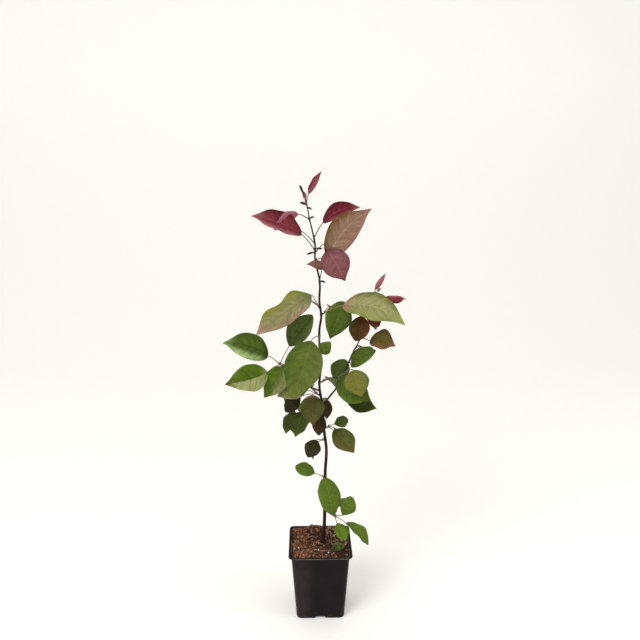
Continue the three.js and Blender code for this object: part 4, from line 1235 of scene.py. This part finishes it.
def notch_cutter(pot, side):
    """A prism with rounded upper corners that cuts one drainage notch."""
    half_top, radius, over = pot.notch_top / 2, 0.0016, 0.001
    foot = pot.notch_foot / 2 + over
    arc = [(half_top - radius * across, pot.notch_height - radius * drop) for across, drop in quarter_turn(4)]
    shape = [(-foot, -over), (foot, -over), *arc, *[(-x, z) for x, z in reversed(arc)]]
    near, far = -pot.base_width / 2 - 0.002, -pot.base_width / 2 + pot.notch_depth
    points, faces = loft([np.array([(x, y, z) for x, z in shape]) for y in (near, far)])
    turn = side * math.pi / 2
    matrix = np.array([[math.cos(turn), -math.sin(turn), 0], [math.sin(turn), math.cos(turn), 0], [0, 0, 1]])
    made = mesh_object(f"notch_{side}", points @ matrix.T, faces, smooth=False)
    face_outwards(made.data)
    return made


def build_pot(pot):
    shell = mesh_object("pot_blank", *loft(pot_rings(pot)), smooth=False)
    face_outwards(shell.data)
    shell.data.materials.append(pot_material("pot_plastic", "pot"))
    cutters = [notch_cutter(pot, side) for side in range(4)]
    for cutter in cutters:
        cut = shell.modifiers.new(cutter.name, "BOOLEAN")
        cut.operation, cut.solver, cut.object = "DIFFERENCE", "MANIFOLD", cutter
    made = finished("pot_shell", shell)
    discard(*cutters)
    made.data.set_sharp_from_angle(angle=math.radians(32))
    place(made, "pot", "pot")


def subdivided(ring):
    """A ring with points added along its straight sides."""
    side_pieces = 14
    made = []
    for a, b in zip(ring, np.roll(ring, -1, axis=0)):
        pieces = side_pieces if np.linalg.norm(b - a) > 4 * np.linalg.norm(ring[1] - ring[0]) else 1
        made.extend(lerp(a, b, k / pieces) for k in range(pieces))
    return np.array(made)


def compost_rings(pot, bed):
    """Rings up the pot's inside and in across the top to the stem, and how many lie below the top."""
    clear, least_width, least_corner = 0.0003, 0.0015, 0.0007
    inset = 2 * (pot.wall + clear)
    corner, collar, floor = pot.corner - pot.wall, pot.height - pot.collar_height, pot.floor + clear
    rows = [
        (lerp(pot.base_width, pot.body_width, floor / collar) - inset, corner, floor),
        (pot.body_width - inset, corner, collar - 0.002),
        (pot.body_width - inset + 0.001, corner, collar + 0.001),
    ]
    below = len(rows)
    for t in (k / bed.rings for k in range(bed.rings)):
        height = lerp(bed.edge_height, bed.crown_height, math.sin(t * math.pi / 2))
        rows.append((lerp(pot.collar_width - inset, least_width, t), lerp(corner, least_corner, t), height))
    return [subdivided(square_ring(*row, pot.corner_steps)) for row in rows], below


def blob(x, y, place, spread):
    """How near points are to a place, from 0 to 1."""
    return np.exp(-((x - place[0]) ** 2 + (y - place[1]) ** 2) / spread)


def build_compost(pot, bed):
    """The compost bed with its lumps, the mound along its back and the clod on it."""
    rings, below = compost_rings(pot, bed)
    count = max(len(ring) for ring in rings)
    rings = [
        ring if len(ring) == count else spread(np.vstack([ring, ring[:1]]), count, endpoint=False) for ring in rings
    ]
    points, faces = loft(rings)
    x, y = points[:, 0], points[:, 1]
    top = np.arange(len(points)) >= (below + 1) * count
    lumps = ripple(points, bed.seed, bed.lump_size) + 0.6 * ripple(points, bed.seed + 1, bed.lump_size / 3)
    mound = smoothstep(*MOUND_FOOT, y) * (1 - 0.6 * smoothstep(*MOUND_BACK, y))
    mound *= 1 - 0.5 * smoothstep(*MOUND_SIDE, np.abs(x))
    clod = blob(x, y, CLOD_PLACE, CLOD_SPREAD)
    points[:, 2] += np.where(top, lumps * bed.lumps + mound * bed.mound + clod * bed.clod, 0)
    made = mesh_object("compost_bed", points, faces)
    face_outwards(made.data)
    mask_points(made, top)
    made.data.materials.append(finish_of("compost_ground"))
    return place(made, "compost", "compost")


def rough_lump(name, size, stretch, seed, steps=2, jitter=0.3):
    """A small uneven lump about a given size, stretched in three directions."""
    shape = bmesh.new()
    bmesh.ops.create_icosphere(shape, subdivisions=steps, radius=1)
    points = np.array([v.co[:] for v in shape.verts])
    factor = 1 + jitter * ripple(points, seed, 1.6)
    for vertex, point in zip(shape.verts, points * factor[:, None] * np.array(stretch) * size / 2):
        vertex.co = point
    mesh = bpy.data.meshes.new(name)
    shape.to_mesh(mesh)
    shape.free()
    return add_object(name, mesh)


# Places on the compost, in metres: where the mound rises and falls, its clod, and where the chips change
MOUND_FOOT, MOUND_BACK, MOUND_SIDE = (0.008, 0.032), (0.042, 0.049), (0.02, 0.045)
CLOD_PLACE, CLOD_SPREAD = (-0.011, 0.036), 0.00011
DARK_PLACE, DARK_SPREAD = (0.002, 0.014), 0.0009
ORANGE_SIDE = (0.01, -0.035)
# The right front corner, where darker chips are dealt out as painted shade
SHADED_CORNER_SIDE, SHADED_CORNER_FRONT = (0.008, 0.04), (0.012, -0.03)
PATCH_SIZE = 0.03
CHIP_KINDS = ("dark_chips", "brown_chips", "orange_chips", "pale_chips")
CHIP_LIMIT = 0.0466


def chip_mask(kind, points):
    """Where each kind of chip lies: orange towards the left, dark in the middle, and dark in the right front corner by
    the moss as painted shade.
    """
    x, y = points[:, 0], points[:, 1]
    patch = 0.5 + 0.35 * ripple(points, len(kind), PATCH_SIZE)
    left = smoothstep(*ORANGE_SIDE, x)
    middle = blob(x, y, DARK_PLACE, DARK_SPREAD)
    # Painted shade: the right front corner by the moss gets more dark chips and fewer light ones
    corner = smoothstep(*SHADED_CORNER_SIDE, x) * smoothstep(*SHADED_CORNER_FRONT, y)
    if kind == "dark_chips":
        return np.clip(0.35 + 0.65 * middle + 0.3 * (1 - left) + 0.5 * corner, 0, 1) * (0.6 + 0.4 * patch)
    if kind == "brown_chips":
        return 0.75 * np.clip(patch + 0.3, 0, 1) * (1 - 0.65 * middle) * (1 - 0.7 * corner)
    if kind == "orange_chips":
        share = np.clip(0.12 + 0.75 * left, 0, 1) * np.clip(patch + 0.15, 0, 1)
        return share * (0.7 - 0.65 * middle) * (1 - corner)
    return 0.26 * np.clip(patch + 0.2, 0, 1) * (1 - 0.6 * corner)


def strew_compost(bed_piece, bed):
    """Bark chips over the compost, dealt out by kind."""
    vertices = bed_piece.data.vertices
    points = np.array([v.co[:] for v in vertices])
    top = np.array([v.normal.z for v in vertices]) > 0.4
    top &= points[:, 2] > bed.edge_height - 0.004
    top &= np.abs(points[:, :2]).max(axis=1) < CHIP_LIMIT
    for seed, kind in enumerate(CHIP_KINDS, 1):
        mask_points(bed_piece, np.where(top, chip_mask(kind, points), 0))
        bit = rough_lump(kind + "_bit", bed.chip_length, (1.0, 0.42 + 0.08 * seed, 0.26), 40 + seed)
        finish = finish_of(kind)
        made = strewn(kind, bed_piece, bit, finish, bed.chip_spacing, (0.35, 1.6), 0.85, bed.seed + seed)
        place(made, "compost", "compost")


PERLITE = [(-25.8, 21.9), (-32.8, 16.2), (-8.4, -26.1), (-3.4, -27.1), (26.0, 33.0), (-38.0, -20.0), (14.0, -36.0)]
STRAWS = [
    [(13, 40, 124), (10, 30, 130), (6, 18, 127), (5, 8, 123)],
    [(20, 50, 122), (17, 38, 133), (14, 22, 129), (16, 12, 123)],
    [(2, 30, 123), (6, 22, 127.5), (14, 17, 126), (22, 20, 122.5)],
    [(-14, -22, 123), (-2, -31, 125), (12, -30, 124.5), (21, -24, 122.5)],
    [(-20, -18, 122.5), (-24, -26, 124.5), (-14, -33, 124), (-4, -36, 122)],
    [(24, 8, 122.5), (30, 2, 126), (37, 6, 124), (41, 12, 122)],
    [(-8, 44, 124), (-12, 40, 128.5), (-18, 42, 125.5), (-22, 45, 123)],
    [(26, -14, 122), (20, -6, 125.5), (24, 2, 124), (30, 0, 122)],
    [(28, 36, 124), (24, 26, 129), (19, 18, 127), (21, 8, 123)],
    [(36, 30, 123), (31, 22, 127.5), (26, 16, 126), (29, 6, 122.5)],
    [(-3, 30, 128), (-9, 27, 132), (-15, 29, 131), (-21, 24, 127)],
    [(-6, 12, 124), (-14, 14, 127), (-22, 10, 126), (-28, 12, 123)],
    [(15, 34, 126), (12, 24, 130), (9, 15, 127.5), (8, 9, 123)],
]
MOSS_MIDDLE = (31, -20)


def grain_spots(height, half=0.0009):
    """Small level faces that hold one white grain each."""
    points = []
    for x, y in PERLITE:
        points += [(x * MM + half * a, y * MM + half * b, height) for a, b in ((-1, -1), (1, -1), (1, 1), (-1, 1))]
    faces = [range(first, first + 4) for first in range(0, len(points), 4)]
    made = mesh_object("grain_spots", points, faces, smooth=False)
    mask_points(made, np.ones(len(points)))
    return made


def strew_details(bed, limbs):
    """White grains, straw and a tuft of moss on the compost."""
    spots = grain_spots(bed.edge_height + 0.0045)
    bit = rough_lump("grain_bit", 0.0026, (1, 0.85, 0.75), 77, jitter=0.18)
    place(strewn("perlite_grains", spots, bit, finish_of("perlite"), 0.0014, (0.7, 1.1), 1.5, 9), "compost", "compost")
    discard(spots)
    count = 18
    girth = 0.42 - 0.22 * np.linspace(-1, 1, count) ** 2
    chains = [(smooth_path(path, count), girth) for path in STRAWS]
    made = limbs_from("straw_strands", chains, finish_of("straw"), limbs, 0.00008, 6, limbs.thin_sides)
    place(made, "compost", "compost")
    build_moss(bed)


def build_moss(bed):
    """A low tuft of moss: a lumpy cushion under many small leaflets."""
    cushion = rough_lump("moss_cushion", 0.017, (1.0, 1.0, 1.1), 88, steps=4, jitter=0.1)
    middle = Vector((MOSS_MIDDLE[0] * MM, MOSS_MIDDLE[1] * MM, bed.edge_height + 0.0006))
    cushion.data.transform(Matrix.Translation(middle))
    cushion.data.materials.append(finish_of("moss_ground"))
    cushion.data.shade_smooth()
    mask_points(cushion, np.array([v.normal.z for v in cushion.data.vertices]) > 0.05)
    leaflet = rough_lump("moss_bit", 0.0095, (0.46, 0.14, 1.0), 91, jitter=0.08)
    tuft = strewn("moss_tuft", cushion, leaflet, finish_of("moss"), 0.0017, (0.55, 1.2), 1.1, 21)
    place(cushion, "compost", "compost")
    place(tuft, "compost", "compost")


BOUGH_SIDES, STEM_SIDES = 14, 12
STEM_SEED, PETIOLE_SEED, BUD_SEED = 30, 60, 90


def tapered(path, radii, step, least):
    """A smooth path in steps of about one length, with its radii."""
    count = max(least, round(path_length(path) * MM / step)) + 1
    return smooth_path(path, count), along(radii, np.linspace(0, 1, count))


def swelling(path, height, size, reach):
    """How much thicker a stem is near a height."""
    return size * np.exp(-(((path[:, 2] - height) / reach) ** 2))


def limb_chain(name, limbs):
    """A limb's path and radii, with a flared foot and a swelling at every spur."""
    limb = LIMBS[name]
    path, radii = tapered(limb["path"], limb["radii"], limbs.step, 8)
    if name == "trunk":
        rise = np.maximum(0, 1 - (path[:, 2] - STEM_FOOT) / FLARE_HEIGHT)
        radii = radii + (STEM_FLARE - limb["radii"][0]) * rise**2
        for mass in MASSES.values():
            if "spur" in mass:
                radii = radii + swelling(path, mass["spur"][2], 0.35, 2.4)
    return path, radii


def build_limbs(limbs):
    """The trunk and boughs with bark relief, the lenticels on them and a dry stub."""
    bark = finish_of("bark")
    trunk = limbs_from("trunk_bark", [limb_chain("trunk", limbs)], bark, limbs, limbs.relief, limbs.seed, limbs.sides)
    mask_points(trunk, np.ones(len(trunk.data.vertices)))
    place(trunk, "bark", "trunk")
    for name in ("right_bough", "left_bough", "foot_bough"):
        chain, seed = limb_chain(name, limbs), limbs.seed + len(name)
        place(limbs_from(name + "_bark", [chain], bark, limbs, limbs.relief * 0.7, seed, BOUGH_SIDES), "bark", name)
    bit = rough_lump("lenticel_bit", limbs.lenticel_size, (1.0, 0.55, 0.34), 15, jitter=0.05)
    pale, spacing = finish_of("lenticel"), limbs.lenticel_spacing
    place(strewn("trunk_lenticels", trunk, bit, pale, spacing, (0.6, 1.2), 0.1, limbs.seed + 4), "bark", "trunk")
    stub = tapered(STUB["path"], STUB["radii"], limbs.step, 15)
    place(limbs_from("dry_stub", [stub], finish_of("dry_stub"), limbs, 0.0012, 8, 10), "bark", "trunk")


def stem_chain(mass, limbs):
    """A shoot's own stem with a swelling under each leaf, or a mass's short spur."""
    if "shoot" in mass:
        path, radii = tapered(mass["shoot"], mass["radii"], limbs.step, 12)
        for one in mass["leaves"]:
            radii = radii + swelling(path, one["at"] - 0.8, 0.3, 1.3)
        return path, radii
    root, end = spur_root(mass), spur_end(mass)
    thick = LIMBS[mass["tip"]]["radii"][-1] if "tip" in mass else SPUR_RADIUS
    radii = thick * np.array([1.15, 1.1, 1.0, 0.95, 1.05, 1.0, 1.05, 0.95, 0.6])
    beyond = end + unit(end - root) * 0.8
    return np.array([lerp(root, beyond, t) for t in np.linspace(0, 1, len(radii))]), radii


def bud_chain(mass, one, start):
    """A pointed bud in the angle between a petiole and its stem."""
    heading, rise, _ = one["petiole"]
    out = direction(heading, max(rise, 10))
    tip = unit(out * 0.7 + np.array([0, 0, 1.0]))
    foot = start + out * (1.4 if "shoot" in mass else 0.9) + np.array([0, 0, 0.9])
    t = np.linspace(0, 1, BUD_STEPS)
    radii = 0.95 * np.sin(np.clip(math.pi * (0.16 + 0.84 * t), 0, math.pi)) ** 0.7 * (1 - 0.35 * t) + 0.04
    return foot + t[:, None] * tip * BUD_LENGTH, radii


def build_stalks(limbs, grown):
    """Each mass's stem with its petioles and buds."""
    bark, buds = finish_of("bark"), []
    for seed, (name, mass) in enumerate(MASSES.items()):
        stem = [stem_chain(mass, limbs)]
        place(limbs_from(name + "_stem", stem, bark, limbs, 0.0003, STEM_SEED + seed, STEM_SIDES), "bark", name)
        petioles = []
        for one in grown[name]:
            if one["petiole"][2] <= LONGEST_BARE:
                continue
            start = leaf_start(mass, one)
            petioles.append(petiole_path(one, start, leaf_base(one, start), PETIOLE_STEPS))
            buds.append(bud_chain(mass, one, start))
        finish = finish_of(mass["stalk"])
        made = limbs_from(name + "_petioles", petioles, finish, limbs, 0.00012, PETIOLE_SEED + seed, limbs.thin_sides)
        place(made, "bark", name)
    place(limbs_from("buds", buds, finish_of("bud"), limbs, 0.0001, BUD_SEED, limbs.thin_sides), "bark", *MASSES)


def build_blades(leaves, grown):
    """Every mass's blades, joined by tint."""
    number = 0
    for name, mass in MASSES.items():
        bundles = {}
        for one in grown[name]:
            base = leaf_base(one, leaf_start(mass, one))
            bundles.setdefault(one["tint"], []).append((number, blade_body(one, base, leaf_look(one, number), leaves)))
            number += 1
        for shade, bodies in bundles.items():
            finish = shared(bpy.data.materials, "blade_" + shade, leaf_material, shade)
            place(blade_piece(f"{name}_{shade}", bodies, finish), TINTS[shade][0], name)


def blade_piece(name, bodies, finish):
    """One piece from several blades, with each corner's place on its leaf kept as coordinates."""
    points, faces, places = [], [], []
    first = 0
    for number, (own_points, own_faces, own_places, under) in bodies:
        points.append(own_points * MM)
        faces.append(own_faces + first)
        corners = own_places[own_faces] + np.stack([2 * under, np.full(len(under), 2 * number)], 1)[:, None]
        places.append(corners.reshape(-1, 2))
        first += len(own_points)
    made = mesh_object(name, np.vstack(points), np.vstack(faces))
    if len(made.data.loops) != sum(len(p) for p in places):
        raise RuntimeError(f"{name} lost faces")
    layer = made.data.uv_layers.new(name="places")
    layer.data.foreach_set("uv", np.vstack(places).astype(np.float32).ravel())
    made.data.materials.append(finish)
    return made


# The stage, in metres
BACKDROP_PLACE = 2.6
BACKDROP_CURVE = 1.2
LIGHT_AIM = (0, 0, 0.4)
KEY_PLACE, KEY_SIZE = (-1.1, -1.5, 2.1), 1.4
SIDE_PLACE, SIDE_SIZE = (1.8, -0.6, 1.0), 1.2


def build_backdrop(stage):
    """A pale floor that curves up into a backdrop."""
    half, back, radius = stage.floor_size / 2, BACKDROP_PLACE, BACKDROP_CURVE
    curve = [(back - radius * left, radius * rise) for rise, left in quarter_turn(16)]
    profile = [(-half, 0.0), *curve, (back, half)]
    points = [(x, y, z) for y, z in profile for x in (-half, half)]
    faces = [(2 * i, 2 * i + 1, 2 * i + 3, 2 * i + 2) for i in range(len(profile) - 1)]
    made = mesh_object("backdrop", points, faces)
    material, web = new_material("backdrop")
    pale = linear((250, 249, 244))
    add_shader(web, pale, 0.9, 0.1, **{"Emission Color": pale, "Emission Strength": stage.glow})
    made.data.materials.append(material)


def add_light(name, place_at, size, power):
    lamp = bpy.data.lights.new(name, "AREA")
    lamp.shape, lamp.size, lamp.energy = "DISK", size, power
    made = add_object(name, lamp)
    made.location = place_at
    made.rotation_euler = (Vector(LIGHT_AIM) - Vector(place_at)).to_track_quat("-Z", "Y").to_euler()


def build_stage(stage):
    """The floor, the light and the camera."""
    build_backdrop(stage)
    add_light("key", KEY_PLACE, KEY_SIZE, stage.key_power)
    add_light("side", SIDE_PLACE, SIDE_SIZE, stage.fill_power)
    scene = bpy.context.scene
    scene.world = bpy.data.worlds.new("surround")
    scene.world.use_nodes = True
    shade = scene.world.node_tree.nodes["Background"]
    shade.inputs[0].default_value = (1.0, 0.995, 0.98, 1.0)
    shade.inputs[1].default_value = stage.surround
    lens = bpy.data.cameras.new("camera")
    lens.sensor_width, lens.lens = 36, stage.lens
    lens.clip_start, lens.clip_end = 0.01, 50
    scene.camera = add_object("camera", lens)
    scene.camera.location = stage.camera_place
    scene.camera.rotation_euler = (math.pi / 2 - stage.tilt, 0, -stage.turn)
    scene.view_settings.view_transform = "Standard"


# Operators and panel


class PotOperator(bpy.types.Operator):
    """Build the pot"""

    bl_idname = "crabapple.pot"
    bl_label = "Pot"

    def execute(self, context):
        build_pot(context.scene.crabapple_pot)
        return {"FINISHED"}


class CompostOperator(bpy.types.Operator):
    """Build the compost with its chips, grains, straw and moss"""

    bl_idname = "crabapple.compost"
    bl_label = "Compost"

    def execute(self, context):
        scene = context.scene
        bed = build_compost(scene.crabapple_pot, scene.crabapple_compost)
        strew_compost(bed, scene.crabapple_compost)
        strew_details(scene.crabapple_compost, scene.crabapple_limbs)
        return {"FINISHED"}


class LimbOperator(bpy.types.Operator):
    """Build the trunk and boughs with their bark"""

    bl_idname = "crabapple.limbs"
    bl_label = "Trunk and boughs"

    def execute(self, context):
        build_limbs(context.scene.crabapple_limbs)
        return {"FINISHED"}


class StalkOperator(bpy.types.Operator):
    """Build the shoots, spurs, petioles and buds"""

    bl_idname = "crabapple.stalks"
    bl_label = "Shoots and petioles"

    def execute(self, context):
        build_stalks(context.scene.crabapple_limbs, grow_masses())
        return {"FINISHED"}


class BladeOperator(bpy.types.Operator):
    """Build the leaf blades of every mass"""

    bl_idname = "crabapple.blades"
    bl_label = "Leaf blades"

    def execute(self, context):
        build_blades(context.scene.crabapple_leaves, grow_masses())
        return {"FINISHED"}


class StageOperator(bpy.types.Operator):
    """Set up the floor, the light and the camera"""

    bl_idname = "crabapple.stage"
    bl_label = "Stage"

    def execute(self, context):
        build_stage(context.scene.crabapple_stage)
        return {"FINISHED"}


OPERATORS = (PotOperator, CompostOperator, LimbOperator, StalkOperator, BladeOperator, StageOperator)
SETTINGS = {
    "crabapple_pot": PotSettings,
    "crabapple_compost": CompostSettings,
    "crabapple_limbs": LimbSettings,
    "crabapple_leaves": LeafSettings,
    "crabapple_finishes": FinishColours,
    "crabapple_tints": TintColours,
    "crabapple_stage": StageSettings,
}


class CrabapplePanel(bpy.types.Panel):
    bl_idname = "VIEW3D_PT_crabapple"
    bl_label = "Potted crabapple"
    bl_space_type = "VIEW_3D"
    bl_region_type = "UI"
    bl_category = "Crabapple"

    def draw(self, context):
        for operator in OPERATORS:
            self.layout.operator(operator.bl_idname)


def register():
    for kind in (*SETTINGS.values(), *OPERATORS, CrabapplePanel):
        bpy.utils.register_class(kind)
    for name, kind in SETTINGS.items():
        setattr(bpy.types.Scene, name, PointerProperty(type=kind))


def unregister():
    for name in SETTINGS:
        delattr(bpy.types.Scene, name)
    for kind in reversed((*SETTINGS.values(), *OPERATORS, CrabapplePanel)):
        bpy.utils.unregister_class(kind)


def main():
    register()
    bpy.ops.crabapple.pot()
    bpy.ops.crabapple.compost()
    bpy.ops.crabapple.limbs()
    bpy.ops.crabapple.stalks()
    bpy.ops.crabapple.blades()
    bpy.ops.crabapple.stage()
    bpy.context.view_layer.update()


if __name__ == "__main__":
    main()
